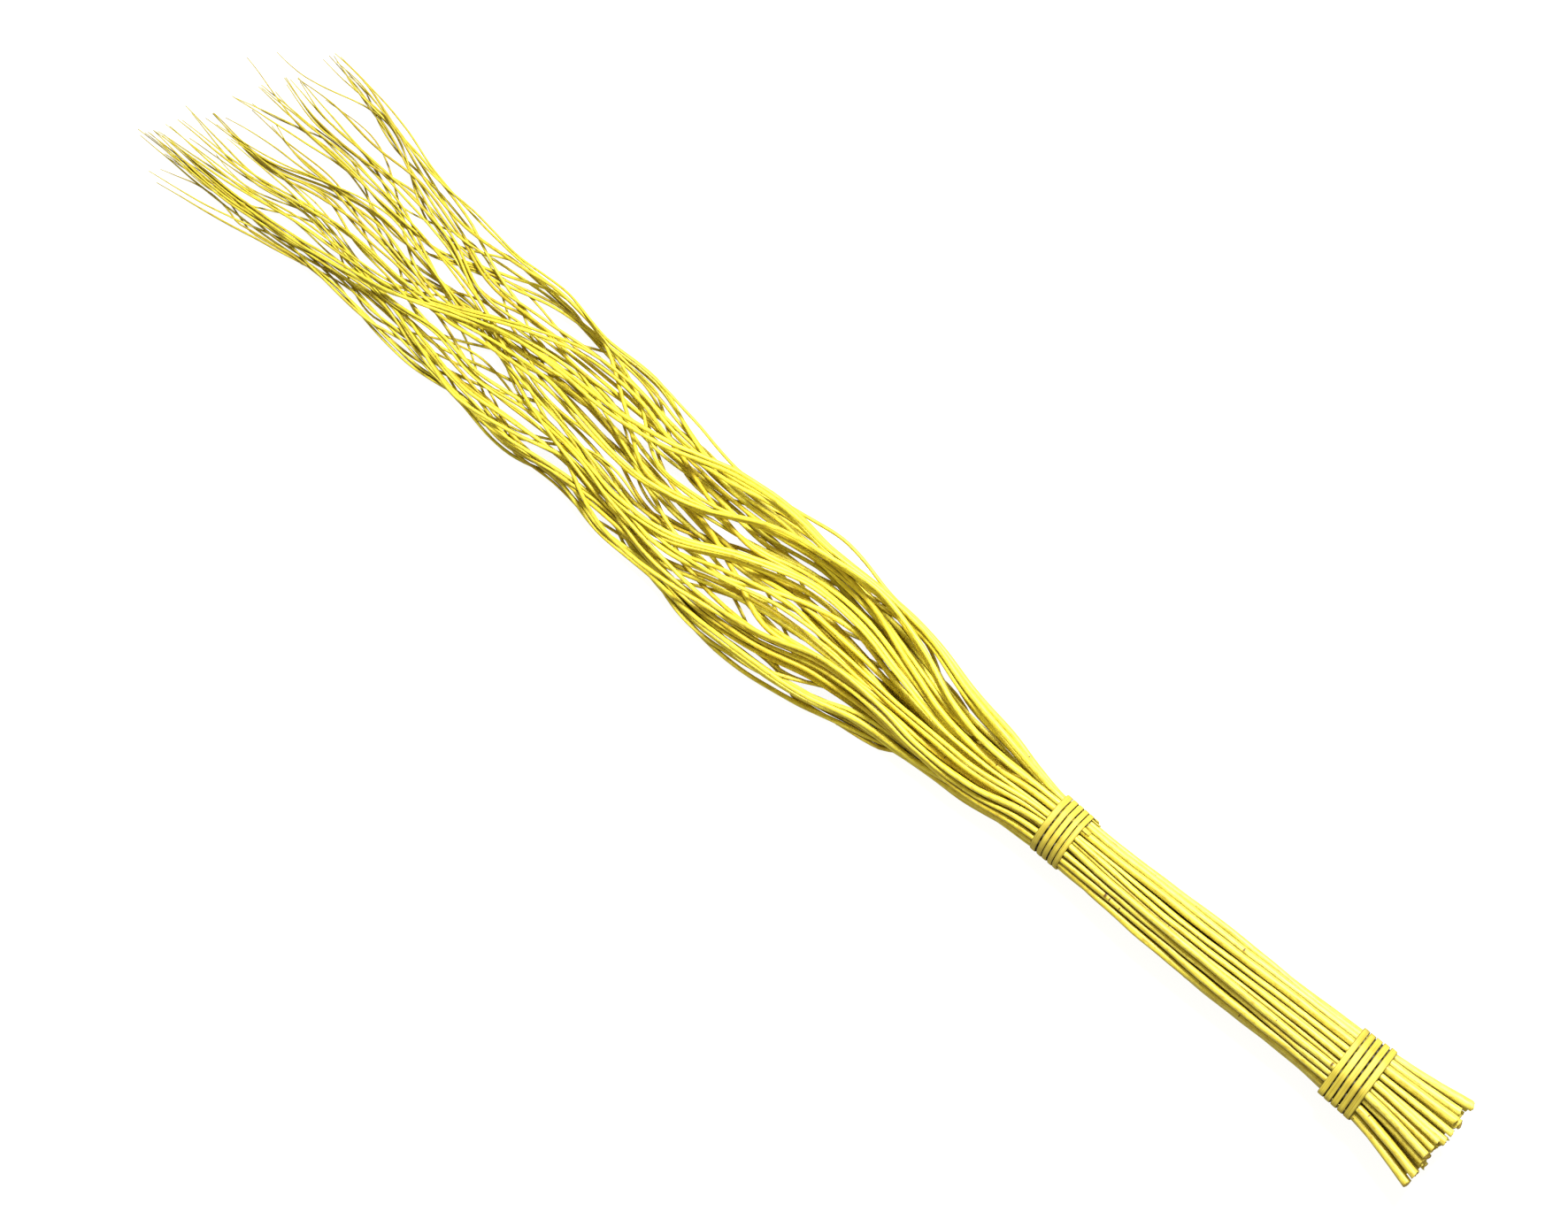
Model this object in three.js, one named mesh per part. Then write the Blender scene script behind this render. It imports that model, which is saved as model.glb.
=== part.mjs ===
// A bundle of 52 long willow twigs, peeled, dyed and crimped into waves, tied twice round its thick
// end with flat split cane and lying on a level surface. Millimetres, +Z up. +X points to the cut
// ends and +Y to the far side of the bundle as it lies. The origin is the middle of the bottom of
// the bundle's box.
//
// Every twig is one tapered solid with a square section. Its middle line is straight between the
// stations below, which all twigs share, so two twigs stay apart everywhere if they stay apart in
// each stretch between two stations. The waves are hand-read from the bundle, then the twigs are
// settled on each other: they sink, push each other apart and keep inside the ties.

import * as THREE from "three";

// Sizes of one twig: its diameter runs evenly from the cut end to the thin end, a little slimmer
// between them, and the last stretch comes to a point
const buttDiameter = 5.2;
const thinDiameter = 1.1;
const slimMiddle = 0.25;
const pointDiameter = 0.4;
const thicknessSpread = 0.18;
const sectionSides = 4;
const sectionGrowth = 1.15;

// Stations along the bundle, from the cut ends to the tips
const cutEndX = 500;
const cutEndSpread = 3;
const farEndX = cutEndX + cutEndSpread + 1;
const lowerTie = { from: 456, to: 423, middle: 440, y: -2, radius: 24, flare: 0.1, stripWidth: 4.3 };
const upperTie = { from: 235, to: 206, middle: 221.3, y: -10, radius: 19.5, flare: 0, stripWidth: 3.7 };
const middleX = 330;
const waveStep = 40;
const waveStations = 17;
const stations = [farEndX, lowerTie.from, lowerTie.to, middleX, upperTie.from];
for (let k = 0; k < waveStations; k += 1) stations.push(upperTie.to - k * waveStep);
const firstWave = stations.indexOf(upperTie.to);
const lastRing = stations.length - 1;
const tipIndex = stations.length;
const taperLength = 2 * cutEndX;

// The ties
const tieTurns = 5;
const tieSides = 10;
const stripThickness = 1.2;
const turnGap = 0.3;
const tieSkew = 0.7;
const tieClearance = 0.35;

// The fan of cut ends beyond the lower tie, and the handle between the ties
const fan = { width: 1.86, height: 1.25, aside: 5.6 };
const handleMiddle = { y: -7.2, radius: 20.3 };
const handleColumns = 8;

// How a twin differs from its lead. Near the tie it lies mostly over or under it, so that gaps show
// between the strands, and from the turning station on it lies beside it and wanders more: how far
// aside and how far in height, in its own radii, how far it wanders to the sides, less again where
// the tips bunch, how far its waves lag, in stations, and how much less of this the twigs on top have.
const turningFrom = 5;
const turningTo = 9;
const twinBeside = { near: 0.9, far: 2.8 };
const twinStacked = 2.1;
const stackUnder = 0.42;
const wanderGrowth = 1.6;
const bunchedFrom = 12;
const bunching = 0.6;
const minLag = 0.15;
const maxLag = 0.45;
const twinWander = 2.6;
const minBeat = 0.7;
const maxBeat = 1.2;
const twinLift = 0.12;
const topLift = 0.84;
const topFreedom = 0.3;
const edgeRoom = 0.5;

// Small differences between all twigs: across, in height, and at the tips
const sideSpread = 0.25;
const rippleHeight = 3.5;
const rippleBeat = 1.4;
const tipSpread = { x: 9, y: 1.5, z: 2 };
const tipBeside = 1.5;
const tipRun = 6;
const tipDrop = 0.8;
const tipLowest = 1;

// How the twigs settle: in the guided passes they are drawn to their aims, and in the rest they
// only push each other apart. Twigs that lie on each other give way upwards more than sideways.
const guidedPasses = 500;
const passes = 2600;
const sidePull = 0.06;
const handlePull = 0.015;
const sink = 0.012;
const stiffness = 0.08;
const sideShare = 0.55;
const stackedFrom = 0.3;
const searchRoom = 2;
const leanRoom = 1.25;
const spareGap = 0.06;
const floorGap = 0.02;
const shrinkMargin = 0.985;

// The waves, read across the bundle at every wave station from the upper tie to the tips: where
// each leading twig lies in Y, its tip [x, y], how high it lies (0 at the bottom, 1 on top), and on
// which side its twin keeps (0 for none). They are read at a slant, as if every twig were at one
// height, so a twig that lies higher or lower is moved back along the line of sight.
const readHeight = 20;
const sightElevation = THREE.MathUtils.degToRad(71);
const sightAzimuth = THREE.MathUtils.degToRad(43);
const sightAlongX = Math.sin(sightAzimuth) / Math.tan(sightElevation);
const sightAlongY = Math.cos(sightAzimuth) / Math.tan(sightElevation);
const leads = [
  { tip: [-456, 54], lift: 0.75, twin: 0,
    y: [5, 12, 18, 26, 30, 36.5, 30.5, 26, 31, 34.5, 33, 38, 36, 39, 40, 47.5, 54] },
  { tip: [-500, -57], lift: 1.0, twin: 1,
    y: [4, 9.5, 15.5, 25, 28, 25.5, 27.5, 22, 7.5, -0.5, -1.5, -5, -19, -36, -46, -53, -57] },
  { tip: [-505, -58], lift: 0.88, twin: 1,
    y: [2, 7, 12.5, 23.5, 25.5, 23, 25, 16.5, 12.5, 18.5, 16.5, 3, -16.5, -32, -38, -42, -50] },
  { tip: [-499, -41], lift: 0.97, twin: -1,
    y: [0, -1, 3, 17, 26.5, 23, 14, -7.5, -17.5, -16, -10.5, -13.5, -21, -24, -23.5, -29, -37] },
  { tip: [-456, 58.6], lift: 0.7, twin: -1,
    y: [-1, -2.5, -1, 8, 18, 19.5, 10, -2, -4, 20, 32, 36.5, 35, 38, 43, 53, 57] },
  { tip: [-473, 24], lift: 0.5, twin: -1,
    y: [-2, -3, -2, 6.5, 14, 17, 11, 9.5, 11, 11, 8, 12, 4, 14, 21, 17, 17] },
  { tip: [-467, 30], lift: 0.45, twin: -1,
    y: [-4, -5, -3, 4, 11, 14, 6, 5.5, 1.5, 4, 6.5, 1.5, 2.5, 12, 17, 21, 26] },
  { tip: [-501, -49], lift: 0.65, twin: -1,
    y: [-5, -6.5, -6, 1, 8, 6, -3.5, -4.5, -6, 2.5, 4, -2.5, -17.5, -33, -36.5, -41, -48] },
  { tip: [-466, 29], lift: 0.6, twin: 0,
    y: [-6, -8, -8, -1.5, 6, 3.5, -5, 0, 11, 15, 14.5, 12.5, 12, 23, 30, 29, 32] },
  { tip: [-467, -30.5], lift: 0.85, twin: 1,
    y: [-8, -10, -11, -5, 2, 1, -13.5, -33.5, -39.5, -37.5, -36, -40, -35, -40, -35, -29.5, -29] },
  { tip: [-505, -58], lift: 0.7, twin: -1,
    y: [-10, -12.5, -13, -8, -1, -3, -16.5, -36, -41.5, -40.5, -44, -49, -43.5, -37, -45, -52, -58] },
  { tip: [-488, -24], lift: 0.3, twin: -1,
    y: [-11, -14, -15, -12, -8, -7, -14, -15, -12.5, -8.5, -5, -9, -13, -7.5, -3.5, -12, -26] },
  { tip: [-473, 25], lift: 0.25, twin: 1,
    y: [-12, -15.5, -17.5, -16.5, -14.5, -14.5, -18.5, -19.5, -15, -14.5, -11, -12.5, -15, -1.5, 13,
      17.5, 16] },
  { tip: [-480, 10.5], lift: 0.5, twin: 0,
    y: [-16, -20, -22, -23, -28, -34, -31, -30, -18.5, -18.5, -19.5, -11, -11.5, -4, 8, 9.5, 12] },
  { tip: [-489, -30], lift: 0.78, twin: 1,
    y: [-15, -19, -20.5, -20.5, -17.5, -16, -25.5, -40, -43.5, -37.5, -30, -18.5, -10.5, -6.5, -2.5,
      -9, -24] },
  { tip: [-505, -32.4], lift: 0.3, twin: -1,
    y: [-17, -21, -23, -23.5, -21, -25, -27, -23, -32, -29, -20.5, -30, -41, -41, -38, -33, -37] },
  { tip: [-491, -59], lift: 0.55, twin: 1,
    y: [-18, -22, -25, -26, -24, -28, -38, -50.5, -46.5, -49.5, -55, -56, -50, -44, -48, -54, -59] },
  { tip: [-488, -24], lift: 0.6, twin: 0,
    y: [-19, -23, -26, -28, -31, -37, -23, -11.5, -11.5, -6.5, 1, -3, -19, -17.5, -15, -19, -28] },
  { tip: [-467, -27.5], lift: 0.8, twin: 1,
    y: [-20, -25, -28.5, -25.5, -27, -41, -47.5, -45, -41, -33.5, -33, -39, -34.5, -29, -25.5, -17, -27] },
  { tip: [-478, 9], lift: 0.6, twin: -1,
    y: [-21, -26.5, -30, -29, -32.5, -45.5, -50, -52, -44.5, -31, -22, -14, -2, 5, 9, 12, 11] },
  { tip: [-509, -63], lift: 0.5, twin: 1,
    y: [-22, -27.5, -31.5, -32, -36.5, -49, -55, -53, -46.5, -50, -57, -55, -51, -43, -47, -53, -58] },
  { tip: [-455, -5], lift: 0.4, twin: 1,
    y: [-23, -29, -33, -35, -41, -52, -57, -50, -40, -33, -31, -18, -9, -14.5, -10, -8, -8.5] },
  { tip: [-490, -64.5], lift: 0.35, twin: -1,
    y: [-24, -30, -34.5, -38, -52.5, -58, -60, -55, -58.5, -50, -54.5, -50.5, -48.5, -51, -50, -53.5,
      -59] },
  { tip: [-511, -66], lift: 0.2, twin: 1,
    y: [-25, -31, -36, -44.5, -56, -61, -62, -56, -47, -50.5, -56.5, -54, -59.5, -57, -55, -60, -63] },
  { tip: [-480, -82], lift: 0.1, twin: 1,
    y: [-26, -33, -38, -46, -58, -65, -64.5, -57, -47.5, -51, -60.5, -56, -60, -57.5, -56, -65, -73.5] },
  { tip: [-488, -8], lift: 0.2, twin: 1,
    y: [0.5, -1.5, 1, 10.5, 20, 20.5, 16, 16, 24.5, 33.5, 31, 27, 15, 4.5, 5, 5.5, -0.5] },
  { tip: [-443, 52], lift: 0.35, twin: -1,
    y: [-1.5, -2, -0.5, 8, 16.5, 15, 18, 13, 16, 20, 21.5, 16.5, 13.5, 25, 38, 48, 53] },
  { tip: [-461, 56], lift: 0.3, twin: -1,
    y: [2.5, 7.5, 12.5, 25, 24, 20.5, 19.5, 18.5, 20, 23.5, 28, 31, 26, 22, 31, 42, 50] },
];

// How thick the loose part lies, from the upper tie to the tips
const heights = [36, 36, 36.5, 37, 36.5, 36, 35, 33, 32, 30, 28, 26, 23, 20, 17, 14, 11];

const willow = new THREE.MeshStandardMaterial({ color: 0xe3cf3a, roughness: 0.5, metalness: 0 });
const cane = new THREE.MeshStandardMaterial({ color: 0xcabb52, roughness: 0.55, metalness: 0 });

// The same row of numbers between 0 and 1 each time
function seededRandom(seed) {
  let state = seed;
  return () => {
    state = (state + 0x6d2b79f5) | 0;
    let mixed = Math.imul(state ^ (state >>> 15), 1 | state);
    mixed = (mixed + Math.imul(mixed ^ (mixed >>> 7), 61 | mixed)) ^ mixed;
    return ((mixed ^ (mixed >>> 14)) >>> 0) / 4294967296;
  };
}

const random = seededRandom(7);

function spread(size) {
  return (random() * 2 - 1) * size;
}

function radiusAt(x, thickness) {
  const share = (x + cutEndX) / taperLength;
  const even = thinDiameter + (buttDiameter - thinDiameter) * share;
  return 0.5 * thickness * (even - slimMiddle * Math.sin(Math.PI * share));
}

// One twig: aims in Y and Z at each station and at its tip, and the radius there
function makeTwig(lead, side) {
  const thickness = 1 + spread(thicknessSpread);
  const phase = random() * Math.PI * 2;
  const beat = minBeat + (maxBeat - minBeat) * random();
  const freedom = side ? (lead.lift > topLift ? topFreedom : 1) : 0;
  const tipX = Math.min(lead.tip[0] + freedom * spread(tipSpread.x), stations[lastRing] - tipRun);
  const lift = lead.lift + freedom * spread(twinLift);
  const twig = { lead, lift, tipX, endX: cutEndX + spread(cutEndSpread) };
  twig.lag = freedom * (random() < 0.5 ? -1 : 1) * (minLag + random() * (maxLag - minLag));
  twig.r = stations.map((x) => radiusAt(x, thickness));
  twig.r.push(0.5 * pointDiameter);
  const turned = (k) => THREE.MathUtils.smoothstep(k, turningFrom, turningTo);
  const bunched = (k) => bunching * THREE.MathUtils.smoothstep(k, bunchedFrom, waveStations - 1);
  twig.beside = lead.y.map((y, k) => {
    const reach = twinWander * (1 + wanderGrowth * turned(k)) * (1 - bunched(k));
    const aside = THREE.MathUtils.lerp(twinBeside.near, twinBeside.far, turned(k));
    const wander = freedom * reach * Math.sin(phase + k * beat);
    return side * twig.r[firstWave + k] * aside + wander + spread(sideSpread);
  });
  twig.tipY = lead.tip[1] + side * tipBeside + freedom * spread(tipSpread.y);
  twig.aimZ = lead.y.map((y, k) => {
    const ripple = rippleHeight * Math.sin(phase + k * rippleBeat);
    const stacked = side ? twinStacked * (lead.lift > stackUnder ? -1 : 1) * (1 - turned(k)) : 0;
    const r = twig.r[firstWave + k];
    return r + Math.max(0, twig.lift * heights[k] + ripple + stacked * r);
  });
  twig.aimZ.push(Math.max(tipLowest, tipDrop * twig.aimZ[waveStations - 1] + spread(tipSpread.z)));
  return twig;
}

// A lead's reading between its stations, on a smooth curve through them
function readingAt(lead, k) {
  const last = waveStations - 1;
  const at = Math.min(last, Math.max(0, k));
  const from = Math.min(last - 1, Math.floor(at));
  const t = at - from;
  const around = [from - 1, from, from + 1, from + 2].map((n) => Math.min(last, Math.max(0, n)));
  const [a, b, c, d] = around.map((n) => lead.y[n]);
  return b + 0.5 * t * (c - a + t * (2 * a - 5 * b + 4 * c - d + t * (3 * (b - c) + d - a)));
}

// Where a twig should lie in Y at a wave station, for the height it has there
function aimY(twig, k, z) {
  const above = z - readHeight;
  const read = readingAt(twig.lead, k + twig.lag + (sightAlongX * above) / waveStep) + twig.beside[k];
  return Math.min(edges[k].far, Math.max(edges[k].near, read)) - sightAlongY * above;
}

const edges = leads[0].y.map((_, k) => {
  const all = leads.map((lead) => lead.y[k]);
  return { near: Math.min(...all) - edgeRoom, far: Math.max(...all) + edgeRoom };
});

const twigs = [];
for (const lead of leads) {
  twigs.push(makeTwig(lead, 0));
  if (lead.twin) twigs.push(makeTwig(lead, lead.twin));
}

// Even places in a disc, one for each twig, given to the twigs column by column so that what lies
// far or high in the loose part also lies far or high in the handle
function handlePlaces() {
  const golden = Math.PI * (3 - Math.sqrt(5));
  const places = twigs.map((_, i) => {
    const r = Math.sqrt((i + 0.5) / twigs.length);
    return { y: r * Math.cos(i * golden), z: r * Math.sin(i * golden) };
  });
  places.sort((a, b) => a.y - b.y);
  const order = [...twigs].sort((a, b) => aimY(a, 1, readHeight) - aimY(b, 1, readHeight));
  for (let c = 0; c < handleColumns; c += 1) {
    const from = Math.round((c * places.length) / handleColumns);
    const to = Math.round(((c + 1) * places.length) / handleColumns);
    const column = places.slice(from, to).sort((a, b) => a.z - b.z);
    const members = order.slice(from, to).sort((a, b) => a.lift - b.lift);
    members.forEach((twig, n) => {
      twig.place = column[n];
    });
  }
}

// A tie's outer radius at a place along the bundle: the lower one widens towards the cut ends
function tieRadius(tie, x) {
  return tie.radius + tie.flare * (x - tie.middle);
}

// Where the handle's middle line runs and how wide it is, station by station
function handleAt(k) {
  const x = stations[k];
  const tie = [lowerTie, upperTie].find(({ from, to }) => x === from || x === to);
  if (tie) {
    const outer = tieRadius(tie, x);
    return { y: tie.y, z: outer, radius: outer - stripThickness - tieClearance };
  }
  const along = (x - upperTie.to) / (lowerTie.from - upperTie.to);
  const z = upperTie.radius + (lowerTie.radius - upperTie.radius) * along;
  return { y: handleMiddle.y, z, radius: handleMiddle.radius };
}

function lowest(twig, k) {
  return twig.r[k] * sectionGrowth + floorGap;
}

function startPlaces() {
  handlePlaces();
  for (const twig of twigs) {
    twig.y = [];
    twig.z = [];
    for (let k = 0; k < firstWave; k += 1) {
      const handle = handleAt(k);
      const reach = handle.radius - twig.r[k];
      const { width, height, aside } = k === 0 ? fan : { width: 1, height: 1, aside: 0 };
      twig.y.push(handle.y + aside + twig.place.y * reach * width);
      twig.z.push(Math.max(handle.z + twig.place.z * reach * height, lowest(twig, k)));
    }
    const tied = handleAt(firstWave);
    const reach = tied.radius - twig.r[firstWave];
    twig.goalZ = [...twig.z, tied.z + twig.place.z * reach, ...twig.aimZ.slice(1)];
    twig.goalY = [...twig.y, tied.y + twig.place.y * reach];
    for (let k = 1; k < waveStations; k += 1) twig.goalY.push(aimY(twig, k, twig.aimZ[k]));
    twig.goalY.push(twig.tipY - sightAlongY * (twig.goalZ[tipIndex] - readHeight));
    twig.y = [...twig.goalY];
    twig.z = [...twig.goalZ];
  }
}

// How far two twigs stay side by side in the stretch that starts at station k: the share of each
// one's own piece of line up to where the shorter one ends
function sharedStretch(a, b, k) {
  if (k < lastRing) return [1, 1];
  const from = stations[lastRing];
  const until = Math.max(a.tipX, b.tipX);
  return [(from - until) / (from - a.tipX), (from - until) / (from - b.tipX)];
}

// Pushes two twigs apart where they come too close in one stretch, and returns how deep they were
function separatePair(a, b, k) {
  const y0 = b.y[k] - a.y[k];
  const z0 = b.z[k] - a.z[k];
  const reach = a.r[k] + b.r[k] + searchRoom;
  const [fa, fb] = sharedStretch(a, b, k);
  const y1 = b.y[k] + fb * (b.y[k + 1] - b.y[k]) - a.y[k] - fa * (a.y[k + 1] - a.y[k]);
  if ((y0 > reach && y1 > reach) || (y0 < -reach && y1 < -reach)) return 0;
  const z1 = b.z[k] + fb * (b.z[k + 1] - b.z[k]) - a.z[k] - fa * (a.z[k + 1] - a.z[k]);
  if ((z0 > reach && z1 > reach) || (z0 < -reach && z1 < -reach)) return 0;
  const dy = y1 - y0;
  const dz = z1 - z0;
  const length = dy * dy + dz * dz;
  const t = length > 1e-9 ? Math.min(1, Math.max(0, -(y0 * dy + z0 * dz) / length)) : 0.5;
  let ny = y0 + t * dy;
  let nz = z0 + t * dz;
  let gap = Math.hypot(ny, nz);
  const ra = a.r[k] + t * fa * (a.r[k + 1] - a.r[k]);
  const rb = b.r[k] + t * fb * (b.r[k + 1] - b.r[k]);
  if (gap >= (ra + rb + spareGap) * leanRoom) return 0;
  if (gap < 1e-6) {
    ny = 0;
    nz = b.lift >= a.lift ? 1 : -1;
    gap = 0;
  } else {
    ny /= gap;
    nz /= gap;
  }
  const run = stations[k] - (k < lastRing ? stations[k + 1] : Math.max(a.tipX, b.tipX));
  const lean = (0.5 * ny * (b.y[k + 1] - b.y[k] + a.y[k + 1] - a.y[k])
    + 0.5 * nz * (b.z[k + 1] - b.z[k] + a.z[k + 1] - a.z[k])) / run;
  const need = (ra + rb) * Math.sqrt(1 + lean * lean) + spareGap;
  const deep = need - gap;
  if (deep <= 0) return 0;
  const side = k >= firstWave && Math.abs(nz) > stackedFrom ? sideShare : 1;
  move(a, k, t * fa, -0.5 * deep * ny * side, -0.5 * deep * nz);
  move(b, k, t * fb, 0.5 * deep * ny * side, 0.5 * deep * nz);
  return deep;
}

// Moves a twig's line by this much at the share t of the stretch from station k
function move(twig, k, t, dy, dz) {
  const near = 1 - t;
  const scale = 1 / (near * near + t * t);
  twig.y[k] += dy * near * scale;
  twig.z[k] += dz * near * scale;
  twig.y[k + 1] += dy * t * scale;
  twig.z[k + 1] += dz * t * scale;
}

function separate() {
  let deepest = 0;
  for (let k = 0; k <= lastRing; k += 1) {
    for (let i = 0; i < twigs.length; i += 1) {
      for (let j = i + 1; j < twigs.length; j += 1) {
        deepest = Math.max(deepest, separatePair(twigs[i], twigs[j], k));
      }
    }
  }
  return deepest;
}

// Keeps the twigs inside the ties and above the surface they lie on
function confine(twig) {
  for (let k = 1; k <= firstWave; k += 1) {
    const handle = handleAt(k);
    const dy = twig.y[k] - handle.y;
    const dz = twig.z[k] - handle.z;
    const out = Math.hypot(dy, dz);
    const room = handle.radius - twig.r[k];
    if (out > room) {
      twig.y[k] = handle.y + (dy * room) / out;
      twig.z[k] = handle.z + (dz * room) / out;
    }
  }
  for (let k = 0; k <= tipIndex; k += 1) {
    twig.z[k] = Math.max(twig.z[k], lowest(twig, k));
  }
}

// Draws the twigs towards their aims, lets them sink, and evens out the bends that this makes
function guide(twig) {
  for (let k = firstWave + 1; k < tipIndex; k += 1) {
    twig.goalY[k] = aimY(twig, k - firstWave, twig.z[k]);
  }
  twig.goalY[tipIndex] = twig.tipY - sightAlongY * (twig.z[tipIndex] - readHeight);
  for (let k = 0; k <= tipIndex; k += 1) {
    const pull = k > firstWave ? sidePull : handlePull;
    twig.y[k] += pull * (twig.goalY[k] - twig.y[k]);
    if (k > firstWave) twig.z[k] -= sink;
    else twig.z[k] += handlePull * (twig.goalZ[k] - twig.z[k]);
  }
  const offY = twig.y.map((y, k) => y - twig.goalY[k]);
  const offZ = twig.z.map((z, k) => z - twig.goalZ[k]);
  for (let k = 1; k < tipIndex; k += 1) {
    twig.y[k] += stiffness * ((offY[k - 1] + offY[k + 1]) / 2 - offY[k]);
    twig.z[k] += stiffness * ((offZ[k - 1] + offZ[k + 1]) / 2 - offZ[k]);
  }
}

function settle() {
  startPlaces();
  for (let pass = 0; pass < passes; pass += 1) {
    if (pass < guidedPasses) twigs.forEach(guide);
    const deepest = separate();
    twigs.forEach(confine);
    if (pass > guidedPasses && deepest < spareGap) break;
  }
}

// The square sections may touch where the round ones would not: each ring is made only as large as
// the nearest twig in its two stretches leaves room for
function fitSections() {
  for (const twig of twigs) twig.fit = twig.r.map(() => sectionGrowth);
  for (let k = 0; k <= lastRing; k += 1) {
    for (let i = 0; i < twigs.length; i += 1) {
      for (let j = i + 1; j < twigs.length; j += 1) fitPair(twigs[i], twigs[j], k);
    }
  }
}

function fitPair(a, b, k) {
  const [fa, fb] = sharedStretch(a, b, k);
  const y0 = b.y[k] - a.y[k];
  const z0 = b.z[k] - a.z[k];
  const dy = b.y[k] + fb * (b.y[k + 1] - b.y[k]) - a.y[k] - fa * (a.y[k + 1] - a.y[k]) - y0;
  const dz = b.z[k] + fb * (b.z[k + 1] - b.z[k]) - a.z[k] - fa * (a.z[k + 1] - a.z[k]) - z0;
  const crossings = [0, 1];
  if (dy !== 0) crossings.push(-y0 / dy);
  if (dz !== 0) crossings.push(-z0 / dz);
  for (const t of crossings) {
    if (t < 0 || t > 1) continue;
    const apart = Math.abs(y0 + t * dy) + Math.abs(z0 + t * dz);
    const ra = a.r[k] + t * fa * (a.r[k + 1] - a.r[k]);
    const rb = b.r[k] + t * fb * (b.r[k + 1] - b.r[k]);
    const fit = (shrinkMargin * apart) / (ra + rb);
    for (const twig of [a, b]) {
      twig.fit[k] = Math.min(twig.fit[k], fit);
      twig.fit[k + 1] = Math.min(twig.fit[k + 1], fit);
    }
  }
}

// A twig as a solid: a lathe turned from its radii, then each ring moved to its place on the line
function twigMesh(twig, name) {
  const rings = stations.map((x, k) => ({ x, y: twig.y[k], z: twig.z[k], r: twig.r[k] * twig.fit[k] }));
  const [far, next] = rings;
  const share = (twig.endX - next.x) / (far.x - next.x);
  rings[0] = {
    x: twig.endX,
    y: next.y + share * (far.y - next.y),
    z: next.z + share * (far.z - next.z),
    r: next.r + share * (far.r - next.r),
  };
  const tip = { x: twig.tipX, y: twig.y[tipIndex], z: twig.z[tipIndex], r: 0 };
  const all = [{ ...rings[0], r: 0 }, ...rings, tip].reverse();
  const profile = all.map((ring) => new THREE.Vector2(ring.r, ring.x));
  const geometry = new THREE.LatheGeometry(profile, sectionSides);
  const position = geometry.attributes.position;
  for (let i = 0; i < position.count; i += 1) {
    const ring = all[i % all.length];
    position.setXYZ(i, ring.x, ring.y - position.getX(i), ring.z + position.getZ(i));
  }
  geometry.computeVertexNormals();
  const mesh = new THREE.Mesh(geometry, willow);
  mesh.name = name;
  return mesh;
}

// A tie: a flat strip of cane wound round the bundle. The winding has flat sides, and all its turns
// are level underneath, so the tie rests on the surface.
function tieMesh(tie, name) {
  const corner = 1 / Math.cos(Math.PI / tieSides);
  const pitch = tie.stripWidth + turnGap;
  const steps = tieTurns * tieSides;
  const startX = tie.middle - (pitch * tieTurns) / 2;
  const half = tie.stripWidth / 2;
  const section = [[0, -half], [0, half], [stripThickness, half], [stripThickness, -half]];
  const positions = [];
  const index = [];
  for (let s = 0; s <= steps; s += 1) {
    const angle = Math.PI / 2 + (Math.PI * 2 * (s + 0.5)) / tieSides;
    const along = startX + (pitch * s) / tieSides - tieSkew * Math.cos(angle);
    for (const [inside, aside] of section) {
      const x = along + aside;
      const outer = tieRadius(tie, x);
      const reach = (outer - inside) * corner;
      positions.push(x, tie.y + reach * Math.cos(angle), outer + reach * Math.sin(angle));
    }
  }
  const corners = section.length;
  for (let s = 0; s < steps; s += 1) {
    for (let c = 0; c < corners; c += 1) {
      const a = s * corners + c;
      const b = s * corners + ((c + 1) % corners);
      index.push(a, a + corners, b, b, a + corners, b + corners);
    }
  }
  const end = steps * corners;
  index.push(0, 1, 2, 0, 2, 3, end, end + 2, end + 1, end, end + 3, end + 2);
  const geometry = new THREE.BufferGeometry();
  geometry.setAttribute("position", new THREE.Float32BufferAttribute(positions, 3));
  geometry.setIndex(index);
  geometry.computeVertexNormals();
  const mesh = new THREE.Mesh(geometry, cane);
  mesh.name = name;
  return mesh;
}

settle();
fitSections();

const bundle = new THREE.Group();
twigs.forEach((twig, i) => {
  bundle.add(twigMesh(twig, `twig_${String(i + 1).padStart(2, "0")}`));
});
bundle.add(tieMesh(lowerTie, "tie_lower"), tieMesh(upperTie, "tie_upper"));

const box = new THREE.Box3().setFromObject(bundle);
const middle = box.getCenter(new THREE.Vector3());
bundle.position.set(-middle.x, -middle.y, -box.min.z);

export default bundle;
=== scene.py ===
# %% [markdown]
# A bundle of willow twigs.
# The object is a tied bundle of long willow rods. They were peeled, dyed lemon yellow and crimped into
# waves, and two ties of split cane hold them. The plain solids of the construction come in as a fixed
# frame, and this lesson dresses them: each square, straight-sided twig becomes a round, evenly curved
# rod with bud scars and a torn cut end, and each tie becomes a wound strip of cane.

# %% Load the frame
import math

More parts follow.
